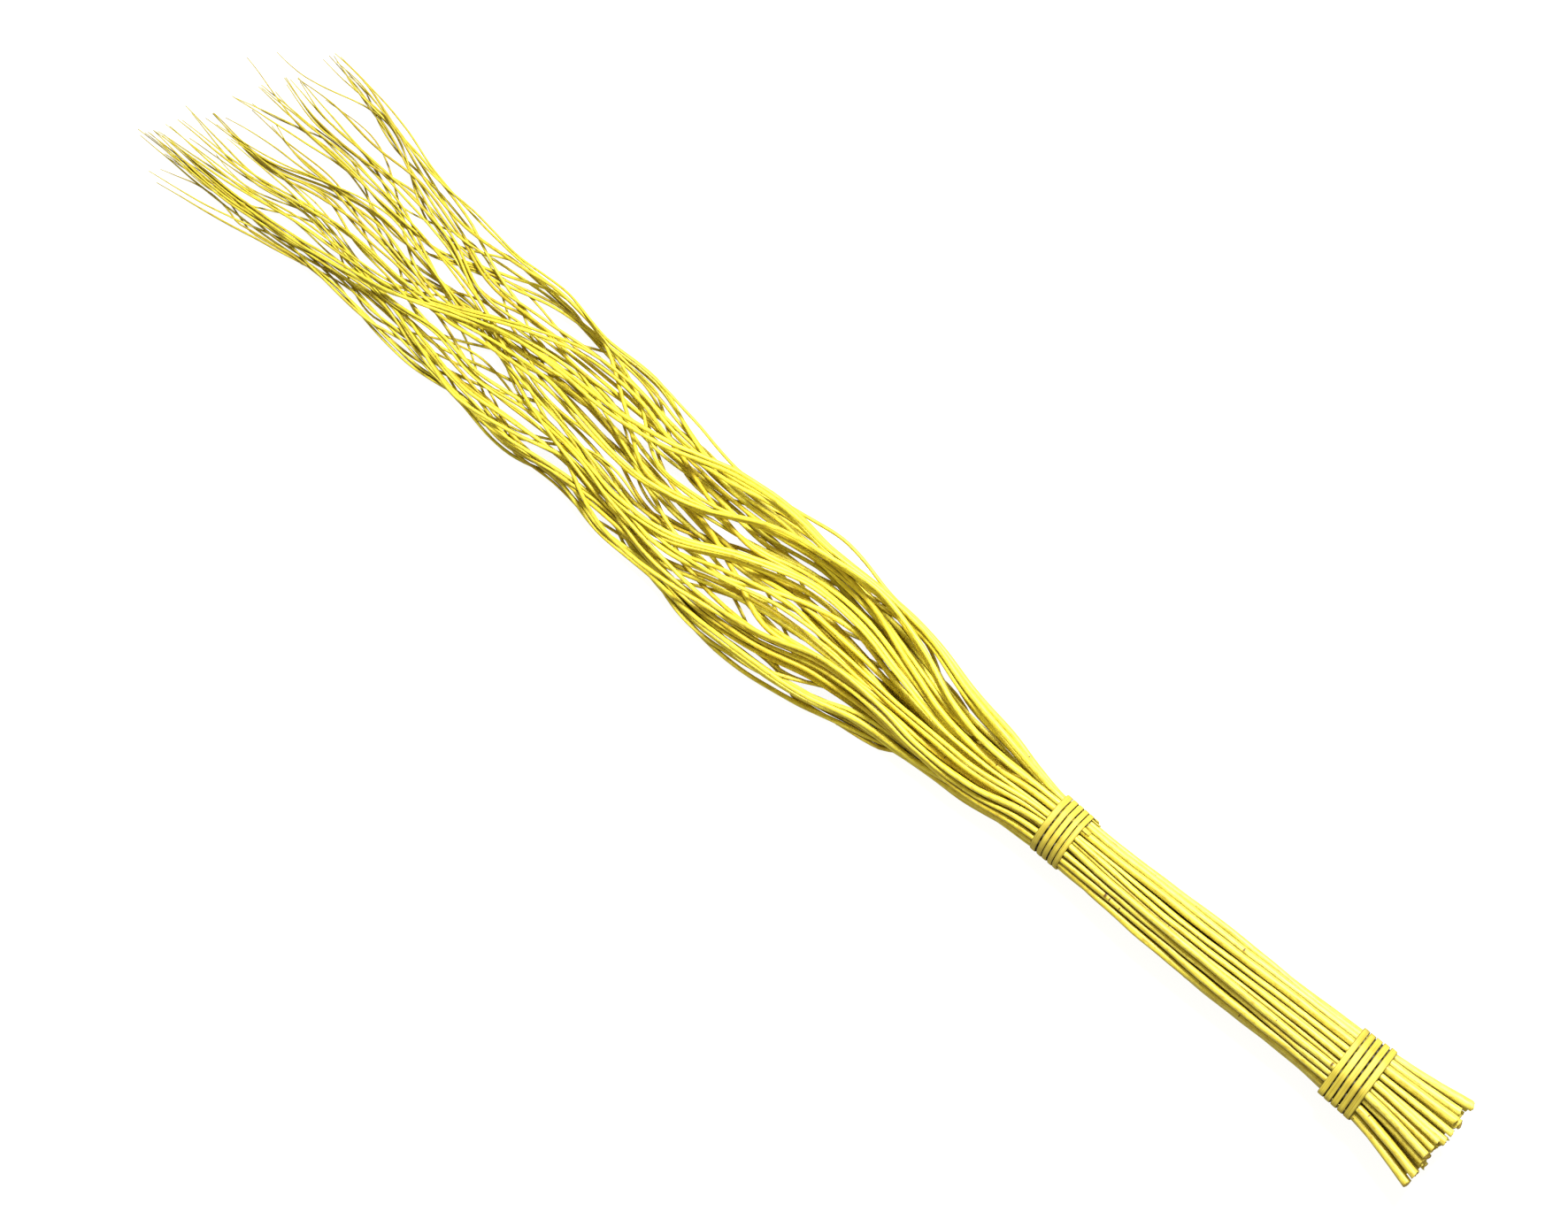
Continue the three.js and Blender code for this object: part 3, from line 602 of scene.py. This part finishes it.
def dyed_willow():
    material, tree, shader = new_material("dyed_peeled_willow")
    grain = add_node(tree, "ShaderNodeAttribute", attribute_name="grain")
    bud = add_node(tree, "ShaderNodeAttribute", attribute_name="bud")
    rod = add_node(tree, "ShaderNodeAttribute", attribute_name="rod")
    split_rod = add_node(tree, "ShaderNodeSeparateXYZ", {0: rod.outputs["Vector"]})
    tone = split_rod.outputs["X"]
    along = split_rod.outputs["Y"]
    thick = split_rod.outputs["Z"]

    # Strands along the rod, for colour, gloss and bump
    squeeze = (1 / strand_width, 1 / strand_width, 1 / strand_length)
    strands = add_node(tree, "ShaderNodeVectorMath", {0: grain.outputs["Vector"], 1: squeeze},
                       operation="MULTIPLY")
    fibre = add_node(tree, "ShaderNodeTexNoise", {
        "Vector": strands.outputs[0], "Scale": 1.0, "Detail": 4.0, "Roughness": 0.6,
    })
    # Uneven dye in patches: paler and deeper dye from the cut end to the tip, mixed by a soft noise
    patch_squeeze = (0.25 / patch_size, 0.25 / patch_size, 1 / patch_size)
    patches = add_node(tree, "ShaderNodeVectorMath", {0: grain.outputs["Vector"], 1: patch_squeeze},
                       operation="MULTIPLY")
    dye = add_node(tree, "ShaderNodeTexNoise", {"Vector": patches.outputs[0], "Scale": 1.0, "Detail": 3.0})

    paler = set_ramp(add_node(tree, "ShaderNodeValToRGB", {0: along}), [
        (0.0, "#E8DF70"), (0.26, "#EAE164"), (0.37, "#F4EC58"), (0.70, "#E6DE42"), (1.0, "#CABE34"),
    ])
    deeper = set_ramp(add_node(tree, "ShaderNodeValToRGB", {0: along}), [
        (0.0, "#D4C034"), (0.26, "#D8C42C"), (0.37, "#E6D020"), (0.70, "#D2BE16"), (1.0, "#AE9E1A"),
    ])
    uneven = add_node(tree, "ShaderNodeMath", {0: dye.outputs["Fac"], 1: patch_contrast, 2: patch_offset},
                      operation="MULTIPLY_ADD", use_clamp=True)
    with_tone = add_node(tree, "ShaderNodeMath", {0: uneven.outputs[0], 1: patch_share, 2: tone},
                         operation="MULTIPLY_ADD", use_clamp=True)
    ground = add_node(tree, "ShaderNodeMix", {
        0: with_tone.outputs[0], 6: paler.outputs["Color"], 7: deeper.outputs["Color"],
    }, data_type="RGBA")
    streak = set_ramp(add_node(tree, "ShaderNodeValToRGB", {0: fibre.outputs["Fac"]}), [
        (0.32, "#C4B674"), (0.45, "#EFEAC4"), (0.60, "#FFFFFF"),
    ])
    streaked = add_node(tree, "ShaderNodeMix", {
        0: streak_share, 6: ground.outputs[2], 7: streak.outputs["Color"],
    }, data_type="RGBA", blend_type="MULTIPLY")
    # Flecks of a millimetre or two where the wood was bruised and took the dye unevenly
    fleck_squeeze = (1 / fleck_size, 1 / fleck_size, 0.4 / fleck_size)
    fleck_space = add_node(tree, "ShaderNodeVectorMath", {0: grain.outputs["Vector"], 1: fleck_squeeze},
                           operation="MULTIPLY")
    flecks = add_node(tree, "ShaderNodeTexNoise", {
        "Vector": fleck_space.outputs[0], "Scale": 1.0, "Detail": 3.0, "Roughness": 0.65,
    })
    fleck = set_ramp(add_node(tree, "ShaderNodeValToRGB", {0: flecks.outputs["Fac"]}), [
        (0.34, "#D2BE78"), (0.46, "#F4EFD0"), (0.56, "#FFFFFF"),
    ])
    flecked = add_node(tree, "ShaderNodeMix", {
        0: fleck_share, 6: streaked.outputs[2], 7: fleck.outputs["Color"],
    }, data_type="RGBA", blend_type="MULTIPLY")

    # A dark lens on the tip side of each bud scar, and scattered brown specks
    split_bud = add_node(tree, "ShaderNodeSeparateXYZ", {0: bud.outputs["Vector"]})
    ahead = add_node(tree, "ShaderNodeMath", {0: split_bud.outputs["X"], 1: scar_offset}, operation="ADD")
    narrowed = add_node(tree, "ShaderNodeMath", {0: ahead.outputs[0], 1: scar_narrowing},
                        operation="MULTIPLY")
    lens = add_node(tree, "ShaderNodeCombineXYZ", {0: narrowed.outputs[0], 1: split_bud.outputs["Y"]})
    lens_reach = add_node(tree, "ShaderNodeVectorMath", {0: lens.outputs[0]}, operation="LENGTH")
    scar_size = add_node(tree, "ShaderNodeMath", {0: split_bud.outputs["Z"], 1: thick}, operation="MULTIPLY")
    scar_reach = add_node(tree, "ShaderNodeMath", {0: lens_reach.outputs["Value"], 1: scar_size.outputs[0]},
                          operation="DIVIDE")
    scar = set_ramp(add_node(tree, "ShaderNodeValToRGB", {0: scar_reach.outputs[0]}), [
        (0.30, "#6E5A2A"), (0.52, "#B49A4A"), (0.95, "#FFFFFF"),
    ])
    speck_squeeze = (1 / speck_spacing, 1 / speck_spacing, 0.5 / speck_spacing)
    speck_space = add_node(tree, "ShaderNodeVectorMath", {0: grain.outputs["Vector"], 1: speck_squeeze},
                           operation="MULTIPLY")
    speck = add_node(tree, "ShaderNodeTexVoronoi", {"Vector": speck_space.outputs[0], "Scale": 1.0})
    speck_mark = set_ramp(add_node(tree, "ShaderNodeValToRGB", {0: speck.outputs["Distance"]}), [
        (0.02, "#8A7434"), (0.06, "#D8CB90"), (0.09, "#FFFFFF"),
    ])
    scarred = add_node(tree, "ShaderNodeMix", {
        0: 1.0, 6: flecked.outputs[2], 7: scar.outputs["Color"],
    }, data_type="RGBA", blend_type="MULTIPLY")
    speckled = add_node(tree, "ShaderNodeMix", {
        0: speck_share, 6: scarred.outputs[2], 7: speck_mark.outputs["Color"],
    }, data_type="RGBA", blend_type="MULTIPLY")

    # Painted shade: the colour darkens where the rods lie against each other, less on the thin ends
    open_air = add_node(tree, "ShaderNodeAmbientOcclusion", {"Distance": crevice_depth},
                        samples=crevice_samples)
    painted_crevice_shade = set_ramp(add_node(tree, "ShaderNodeValToRGB", {0: open_air.outputs["AO"]}), [
        (0.18, "#261200"), (0.38, "#A8800A"), (0.56, "#FFFFFF"),
    ])
    less_on_thin = add_node(tree, "ShaderNodeMapRange", {0: thick, 1: 0.3, 2: 0.9, 3: 0.4, 4: 1.0})
    shaded = add_node(tree, "ShaderNodeMix", {
        0: less_on_thin.outputs[0], 6: speckled.outputs[2], 7: painted_crevice_shade.outputs["Color"],
    }, data_type="RGBA", blend_type="MULTIPLY")
    # No light reaches the rods under a tie
    tied = add_node(tree, "ShaderNodeAttribute", attribute_name="tied")
    under_tie = add_node(tree, "ShaderNodeMath", {0: tied.outputs["Fac"], 1: under_tie_share},
                         operation="MULTIPLY")
    hidden = add_node(tree, "ShaderNodeMix", {
        0: under_tie.outputs[0], 6: shaded.outputs[2], 7: linear("#1C1200"),
    }, data_type="RGBA")
    tree.links.new(hidden.outputs[2], shader.inputs["Base Color"])

    gloss = add_node(tree, "ShaderNodeMapRange", {
        0: fibre.outputs["Fac"], 1: 0.3, 2: 0.7, 3: dull_strand, 4: smooth_strand,
    })
    duller = add_node(tree, "ShaderNodeMath", {0: gloss.outputs[0], 1: tied.outputs["Fac"]},
                      operation="MAXIMUM")
    tree.links.new(duller.outputs[0], shader.inputs["Roughness"])
    bump = add_node(tree, "ShaderNodeBump", {
        "Height": fibre.outputs["Fac"], "Strength": 0.35, "Distance": 0.12 * MM,
    })
    tree.links.new(bump.outputs[0], shader.inputs["Normal"])
    shader.inputs["IOR"].default_value = cellulose_ior
    shader.inputs["Coat Weight"].default_value = 0.8
    shader.inputs["Coat Roughness"].default_value = 0.55
    return material


# %% [markdown]
# The cut ends.
# The butts were cut with shears, which crush and tear the wood. The face is paler than the dyed side,
# straw-coloured, with a brown pith in the middle and a dark, ragged rim where the dye gathered. The
# colour is a ramp by the distance from the middle, broken up by crumbs of crushed fibre. A cut face is
# dull, so it is rougher than the side.

# %% Cut wood
face_reach = 3 * MM
crumb_size = 0.55 * MM
crumb_share = 0.8


def cut_wood():
    material, tree, shader = new_material("cut_willow_wood")
    grain = add_node(tree, "ShaderNodeAttribute", attribute_name="grain")
    split = add_node(tree, "ShaderNodeSeparateXYZ", {0: grain.outputs["Vector"]})
    flat = add_node(tree, "ShaderNodeCombineXYZ", {0: split.outputs["X"], 1: split.outputs["Y"]})
    out = add_node(tree, "ShaderNodeVectorMath", {0: flat.outputs[0]}, operation="LENGTH")
    share = add_node(tree, "ShaderNodeMath", {0: out.outputs["Value"], 1: 1 / face_reach},
                     operation="MULTIPLY")
    face = set_ramp(add_node(tree, "ShaderNodeValToRGB", {0: share.outputs[0]}), [
        (0.0, "#7A6230"), (0.16, "#A88E48"), (0.24, "#DCCB7A"),
        (0.68, "#E4D27C"), (0.80, "#BBA13E"), (0.92, "#8D7526"),
    ])
    crumbs = add_node(tree, "ShaderNodeTexNoise", {
        "Vector": grain.outputs["Vector"], "Scale": 1 / crumb_size, "Detail": 5.0, "Roughness": 0.7,
    })
    tint = set_ramp(add_node(tree, "ShaderNodeValToRGB", {0: crumbs.outputs["Fac"]}), [
        (0.30, "#9C8650"), (0.50, "#EFE6C8"), (0.70, "#FFFFFF"),
    ])
    mixed = add_node(tree, "ShaderNodeMix", {
        0: crumb_share, 6: face.outputs["Color"], 7: tint.outputs["Color"],
    }, data_type="RGBA", blend_type="MULTIPLY")
    tree.links.new(mixed.outputs[2], shader.inputs["Base Color"])
    bump = add_node(tree, "ShaderNodeBump", {
        "Height": crumbs.outputs["Fac"], "Strength": 0.7, "Distance": 0.2 * MM,
    })
    tree.links.new(bump.outputs[0], shader.inputs["Normal"])
    shader.inputs["Roughness"].default_value = 0.8
    shader.inputs["IOR"].default_value = cellulose_ior
    return material


willow = dyed_willow()
cut = cut_wood()
print("materials:", willow.name, cut.name)

# %% Dress each twig's node
def mesh_piece(name, verts, faces, materials, face_material, data):
    """A smooth mesh object from points in millimetres, with vector data on its points."""
    mesh = bpy.data.meshes.new(name)
    mesh.from_pydata((verts * MM).tolist(), [], faces)
    for material in materials:
        mesh.materials.append(material)
    mesh.polygons.foreach_set("material_index", face_material)
    mesh.polygons.foreach_set("use_smooth", np.ones(len(faces), dtype=bool))
    for key, values in data.items():
        kind, field = ("FLOAT", "value") if values.ndim == 1 else ("FLOAT_VECTOR", "vector")
        layer = mesh.attributes.new(key, kind, "POINT")
        layer.data.foreach_set(field, np.ascontiguousarray(values, dtype=np.float32).ravel())
    mesh.update()
    piece = bpy.data.objects.new(name, mesh)
    bpy.context.scene.collection.objects.link(piece)
    return piece


# Slim twigs lie low, in the shade of the thick rods, so their tone is moved towards the deeper dye: painted
# shade.
slim_painted_shade = 0.3
triangles = 0
rod_names = twig_nodes + [f"slim_twig_{n + 1:02d}" for n in range(slim_count)]
for i, node in enumerate(rod_names):
    rng = np.random.default_rng(100 + i)
    verts, faces, cut_face, grain, bud = sweep_rod(i, rng)
    tone = rng.uniform(-0.25, 0.75) + (slim_painted_shade if i >= len(twig_nodes) else 0)
    share_along = (cut_x[i] - verts[:, 0]) / (cut_x[i] - tip_x[i])
    thick = np.clip(rod_radius(i, verts[:, 0]) / 2, 0.3, 1.2)
    rod = np.column_stack([np.full(len(verts), tone), share_along, thick])
    tied = np.zeros(len(verts))
    for tie, half in shaded_half.items():
        out = np.abs(verts[:, 0] - sum(tie_x[tie]) / 2) - half
        tied = np.maximum(tied, np.clip(1 - out / shade_fade, 0, 1))
    piece = mesh_piece(f"{node}_rod", verts, faces, [willow, cut], cut_face,
                       {"grain": grain * MM, "bud": bud, "rod": rod, "tied": tied})
    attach(piece, "root")
    if node in twig_nodes:
        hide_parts(node)
    triangles += sum(len(face) - 2 for face in faces)
print("rods:", len(rod_names), "triangles:", triangles)

# %% [markdown]
# The ties.
# Each tie is one strip of split cane: flat inside, softly rounded outside, wound tightly five times. A
# taut strip touches only the outermost rods and runs straight between them, which is the convex hull
# of their round sections. Both ends are tucked along the rods under the turns, and their stubs show
# beside the last turn. A curve could be wrapped by a modifier, but the hull follows exactly the rods that
# were settled above, so the path is worked out from them.

# %% The strip's path
turn_points = 96
outline_steps = 720
path_clearance = 0.06
corner_radius = 0.1
drift_size = 0.12


def tight_outline(x, extras, start_angle):
    """Points round everything at x that a taut strip would touch, evenly spaced, from the start angle."""
    k = int(np.argmin(np.abs(grid - x)))
    centres = line[:, k]
    sizes = radius[:, k]
    if len(extras):
        centres = np.concatenate([centres, extras])
        sizes = np.concatenate([sizes, np.full(len(extras), corner_radius)])
    angles = start_angle + np.linspace(0, 2 * math.pi, outline_steps + 1)
    normals = np.column_stack([np.cos(angles), np.sin(angles)])
    reach = centres @ normals.T + sizes[:, None]
    outermost = np.argmax(reach, axis=0)
    points = centres[outermost] + (sizes[outermost] + strip_thickness / 2 + path_clearance)[:, None] * normals
    run = np.concatenate([[0], np.cumsum(np.linalg.norm(np.diff(points, axis=0), axis=1))])
    even = np.linspace(0, run[-1], turn_points, endpoint=False)
    outline = np.column_stack([np.interp(even, run, points[:, c]) for c in range(2)])
    for _ in range(2):
        outline = (np.roll(outline, 1, axis=0) + 2 * outline + np.roll(outline, -1, axis=0)) / 4
    return outline


def strip_path(tie, style, extras, rng):
    """The middle line of a tie's strip, the way out of the bundle and the strip's width at each point."""
    widths = np.array(style["widths"])
    gaps = np.array(style["gaps"])
    start_angle = math.radians(style["ends_at"])
    turns = len(widths)
    centres = np.concatenate([[0], np.cumsum((widths[1:] + widths[:-1]) / 2 + gaps)])
    centres += sum(tie_x[tie]) / 2 - centres.mean()
    turn_middles = np.arange(turns) + 0.5
    path = []
    outward = []
    width = []
    drift = rng.normal(0, drift_size, 2 * turns + 2)
    for n in range(turns):
        outline = tight_outline(centres[n], extras, start_angle)
        for m in range(turn_points + (n == turns - 1)):
            share = m / turn_points
            angle = start_angle + 2 * math.pi * share
            here = outline[m % turn_points]
            along = outline[(m + 1) % turn_points] - outline[m - 1]
            along /= np.linalg.norm(along)
            at = n + share
            x = np.interp(at, turn_middles, centres)
            x += (min(at - 0.5, 0) + max(at - turns + 0.5, 0)) * widths[n]
            x += np.interp(at, np.arange(2 * turns + 2) / 2, drift) - style["skew"] * math.cos(angle)
            path.append((x, *here))
            outward.append((0, along[1], -along[0]))
            width.append(np.interp(at, turn_middles, widths))
    return np.array(path), np.array(outward), np.array(width)


# %% The strip's section
section_points = 16
edge_sharpness = 0.45
face_crown = 0.7
strip_swells = ((0.03, 17), (0.02, 6))


def strip_section(thick):
    """Points round a strip's section, as half widths across it and in millimetres out of it."""
    angle = np.arange(section_points) * 2 * math.pi / section_points
    across = np.sign(np.cos(angle)) * np.abs(np.cos(angle)) ** edge_sharpness
    out = thick / 2 * np.sign(np.sin(angle)) * np.abs(np.sin(angle)) ** face_crown
    return across, out


def sweep_strip(path, outward, width, thick, rng):
    """Points, faces and grain of a strip swept along a path, closed at both ends."""
    across, out = strip_section(thick)
    tangent = np.gradient(path, axis=0)
    tangent /= np.linalg.norm(tangent, axis=1)[:, None]
    aside = np.cross(outward, tangent)
    aside /= np.linalg.norm(aside, axis=1)[:, None]
    along = np.concatenate([[0], np.cumsum(np.linalg.norm(np.diff(path, axis=0), axis=1))])
    phase = rng.uniform(0, 2 * math.pi, 2)
    uneven = sum((size * np.sin(along / run + shift) for (size, run), shift in zip(strip_swells, phase)), 1)
    across = across * (uneven * width / 2)[:, None]
    sideways = across[..., None] * aside[:, None, :]
    verts = (path[:, None, :] + sideways + out[None, :, None] * outward[:, None, :]).reshape(-1, 3)
    grain = np.stack([across, out + 0 * across, along[:, None] + 0 * across], axis=-1).reshape(-1, 3)
    count = len(path)
    k, s = np.meshgrid(np.arange(count - 1), np.arange(section_points), indexing="ij")
    a = k * section_points + s
    b = k * section_points + (s + 1) % section_points
    quads = np.stack([a, a + section_points, b + section_points, b], axis=-1).reshape(-1, 4).tolist()
    first_end = list(range(section_points))
    last_end = [(count - 1) * section_points + n for n in first_end][::-1]
    return verts, quads + [first_end, last_end], grain


# %% [markdown]
# Cane.
# The ties are split cane: a strip pared from a rattan stem, with the hard, slightly glossy skin outside.
# It was dyed with the rods but takes less of it, so it is a dull straw olive. Its fibres are straight and
# even, as fine lines of about 0.3 mm, and the pared edges are rougher than the skin. Their darker colour
# is partly their own and partly painted shade where the rounded strip turns away from the light. The
# same noises, ramps and ambient occlusion as on the willow draw them, at the cane's own scales, and the
# occlusion paints shade into the gaps between the turns.

# %% Cane
fibre_width = 0.3 * MM
fibre_length = 60 * MM
cane_patch_size = 22 * MM
line_share = 0.8
edge_from = 1.55 * MM
edge_to = 2.1 * MM
skin_roughness = 0.62
edge_roughness = 0.8


def split_cane():
    material, tree, shader = new_material("dyed_split_cane")
    grain = add_node(tree, "ShaderNodeAttribute", attribute_name="grain")
    squeeze = (1 / fibre_width, 1 / fibre_width, 1 / fibre_length)
    lines = add_node(tree, "ShaderNodeVectorMath", {0: grain.outputs["Vector"], 1: squeeze},
                     operation="MULTIPLY")
    fibre = add_node(tree, "ShaderNodeTexNoise", {
        "Vector": lines.outputs[0], "Scale": 1.0, "Detail": 3.0, "Roughness": 0.55,
    })
    patches = add_node(tree, "ShaderNodeTexNoise", {
        "Vector": grain.outputs["Vector"], "Scale": 1 / cane_patch_size, "Detail": 3.0,
    })
    dyed = set_ramp(add_node(tree, "ShaderNodeValToRGB", {0: patches.outputs["Fac"]}), [
        (0.30, "#C0B244"), (0.50, "#D2C452"), (0.70, "#E0D468"),
    ])
    streak = set_ramp(add_node(tree, "ShaderNodeValToRGB", {0: fibre.outputs["Fac"]}), [
        (0.32, "#B9A468"), (0.50, "#F4EDD4"), (0.62, "#FFFFFF"),
    ])
    split = add_node(tree, "ShaderNodeSeparateXYZ", {0: grain.outputs["Vector"]})
    from_middle = add_node(tree, "ShaderNodeMath", {0: split.outputs["X"]}, operation="ABSOLUTE")
    edge = add_node(tree, "ShaderNodeMapRange", {
        0: from_middle.outputs[0], 1: edge_from, 2: edge_to, 3: 0.0, 4: 1.0,
    })
    streaked = add_node(tree, "ShaderNodeMix", {
        0: line_share, 6: dyed.outputs["Color"], 7: streak.outputs["Color"],
    }, data_type="RGBA", blend_type="MULTIPLY")
    # The edges darken: partly the pared edge's own colour, partly painted shade where the strip turns away
    # from the light.
    edge_colour_and_shade = add_node(tree, "ShaderNodeMix", {
        0: edge.outputs[0], 6: streaked.outputs[2], 7: linear("#7C6E24"),
    }, data_type="RGBA")
    # Painted shade: ambient occlusion darkens the colour in the gaps between the turns and where the strip
    # lies on the rods.
    open_air = add_node(tree, "ShaderNodeAmbientOcclusion", {"Distance": crevice_depth},
                        samples=crevice_samples)
    painted_crevice_shade = set_ramp(add_node(tree, "ShaderNodeValToRGB", {0: open_air.outputs["AO"]}), [
        (0.18, "#1C1400"), (0.38, "#8A7828"), (0.56, "#FFFFFF"),
    ])
    shaded = add_node(tree, "ShaderNodeMix", {
        0: 1.0, 6: edge_colour_and_shade.outputs[2], 7: painted_crevice_shade.outputs["Color"],
    }, data_type="RGBA", blend_type="MULTIPLY")
    tree.links.new(shaded.outputs[2], shader.inputs["Base Color"])
    gloss = add_node(tree, "ShaderNodeMapRange", {
        0: edge.outputs[0], 1: 0.0, 2: 1.0, 3: skin_roughness, 4: edge_roughness,
    })
    tree.links.new(gloss.outputs[0], shader.inputs["Roughness"])
    bump = add_node(tree, "ShaderNodeBump", {
        "Height": fibre.outputs["Fac"], "Strength": 0.4, "Distance": 0.1 * MM,
    })
    tree.links.new(bump.outputs[0], shader.inputs["Normal"])
    shader.inputs["IOR"].default_value = cellulose_ior
    return material


cane = split_cane()
print("material:", cane.name)

# %% Wind the ties
tail_width = 3.2
tail_thickness = 0.9
stub_length = 1.6
tail_length = 15.0
tuck_depth = 3.0
tail_points = 8
tie_styles = {
    "tie_upper": {
        "widths": (4.0, 3.5, 3.5, 3.4, 3.4), "gaps": (0.95, 0.55, 0.6, 0.55), "skew": 0.5,
        "ends_at": 20, "tails": (22, 66),
    },
    "tie_lower": {
        "widths": (4.1, 4.1, 4.1, 4.0, 4.5), "gaps": (0.6, 0.65, 1.1, 0.6), "skew": 1.2,
        "ends_at": -25, "tails": (-25, 160),
    },
}


def tail_on_rods(tie, degrees):
    """The lengthwise strip under the turns at an angle: its path, its way out and its outer corners."""
    x = tie_x[tie][1] - tuck_depth
    k = int(np.argmin(np.abs(grid - x)))
    angle = math.radians(degrees)
    out = np.array([math.cos(angle), math.sin(angle)])
    aside = np.array([-out[1], out[0]])
    n = int(np.argmax(line[:, k] @ out + radius[:, k]))
    seat = line[n, k] + out * (radius[n, k] + tail_thickness / 2)
    xs = np.linspace(x - tail_length, x + tuck_depth + stub_length, tail_points)
    path = np.column_stack([xs, np.tile(seat, (len(xs), 1))])
    outward = np.tile([0, *out], (len(xs), 1))
    top = seat + out * tail_thickness / 2
    corners = [top + aside * tail_width * share for share in (-0.4, 0, 0.4)]
    return path, outward, corners


for seed, (tie, style) in enumerate(tie_styles.items()):
    rng = np.random.default_rng(40 + seed)
    tails = [tail_on_rods(tie, degrees) for degrees in style["tails"]]
    corners = np.array([corner for _, _, made in tails for corner in made])
    path, outward, width = strip_path(tie, style, corners, rng)
    parts = [sweep_strip(path, outward, width, strip_thickness, rng)]
    for tail_path, tail_out, _ in tails:
        tail_widths = np.full(len(tail_path), tail_width)
        parts.append(sweep_strip(tail_path, tail_out, tail_widths, tail_thickness, rng))
    verts = np.concatenate([part[0] for part in parts])
    grain = np.concatenate([part[2] for part in parts])
    faces = []
    offset = 0
    for part_verts, part_faces, _ in parts:
        faces += [[offset + v for v in face] for face in part_faces]
        offset += len(part_verts)
    one_finish = np.zeros(len(faces), dtype=int)
    piece = mesh_piece(f"{tie}_strip", verts, faces, [cane], one_finish, {"grain": grain * MM})
    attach(piece, "root")
    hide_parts(tie)
    print(tie, "strip length in mm:", round(float(np.linalg.norm(np.diff(path, axis=0), axis=1).sum())))

# %% [markdown]
# Floor and light.
# The photograph shows the bundle on white with soft light from beyond its far side, so that each rod is
# bright on its upper right and olive on its lower left. One soft, slightly cool area light high up
# beyond that side gives this, and a warm sky fills the shade. The floor is a sheet of white acrylic lit
# from below, as product photographers use, so that the shadows on it stay faint. The camera sees the
# full glow of the floor and a white sky, but less of both falls on the rods, which keeps their dark
# sides. A view gamma a little under 1 deepens the middle tones.

# %% Floor
floor_size = 12
glow_on_rods = 0.3
glow_to_camera = 0.93
floor_mesh = bpy.data.meshes.new("floor")
floor_corners = [(x * floor_size / 2, y * floor_size / 2, 0) for x, y in ((-1, -1), (1, -1), (1, 1), (-1, 1))]
floor_mesh.from_pydata(floor_corners, [], [(0, 1, 2, 3)])
floor_material, floor_tree, floor_shader = new_material("backlit_white_acrylic")
floor_shader.inputs["Base Color"].default_value = linear("#6E6E6D")
floor_shader.inputs["Roughness"].default_value = 0.9
floor_shader.inputs["Emission Color"].default_value = (1, 1, 1, 1)
floor_ray = add_node(floor_tree, "ShaderNodeLightPath")
glow = add_node(floor_tree, "ShaderNodeMapRange", {
    0: floor_ray.outputs["Is Camera Ray"], 3: glow_on_rods, 4: glow_to_camera,
})
floor_tree.links.new(glow.outputs[0], floor_shader.inputs["Emission Strength"])
floor_mesh.materials.append(floor_material)
floor = bpy.data.objects.new("floor", floor_mesh)
bpy.context.scene.collection.objects.link(floor)
print("floor in metres:", floor_size, "by", floor_size)

# %% Lights
def area_light(name, place, target, size, watts, colour):
    """A round area light at a place, turned towards a target."""
    data = bpy.data.lights.new(name, "AREA")
    data.shape = "DISK"
    data.color = colour
    data.size = size
    data.energy = watts
    light = bpy.data.objects.new(name, data)
    light.location = place
    aim = [t - p for t, p in zip(target, place)]
    yaw = math.atan2(aim[0], -aim[1])
    pitch = math.atan2(math.hypot(aim[0], aim[1]), -aim[2])
    light.rotation_euler = (pitch, 0, yaw + math.pi)
    bpy.context.scene.collection.objects.link(light)


key_place = (0.1, 0.75, 2.25)
key_size = 0.6
key_watts = 116
key_colour = (0.85, 0.88, 1.0)
fill_colour = (1.0, 0.93, 0.60, 1)
fill_strength = 0.58
area_light("key", key_place, (0, 0, 0), key_size, key_watts, key_colour)
world = bpy.data.worlds.new("white_studio")
world.use_nodes = True
sky_tree = world.node_tree
fill = sky_tree.nodes["Background"]
fill.inputs["Color"].default_value = fill_colour
fill.inputs["Strength"].default_value = fill_strength
backdrop = add_node(sky_tree, "ShaderNodeBackground", {"Color": (1, 1, 1, 1), "Strength": 1.0})
sky_ray = add_node(sky_tree, "ShaderNodeLightPath")
seen = add_node(sky_tree, "ShaderNodeMixShader", {
    0: sky_ray.outputs["Is Camera Ray"], 1: fill.outputs[0], 2: backdrop.outputs[0],
})
sky_tree.links.new(seen.outputs[0], sky_tree.nodes["World Output"].inputs["Surface"])
bpy.context.scene.world = world
bpy.context.scene.view_settings.view_transform = "Standard"
bpy.context.scene.view_settings.look = "None"
bpy.context.scene.view_settings.gamma = 0.88
print("key light in watts:", key_watts, "fill strength:", fill_strength)
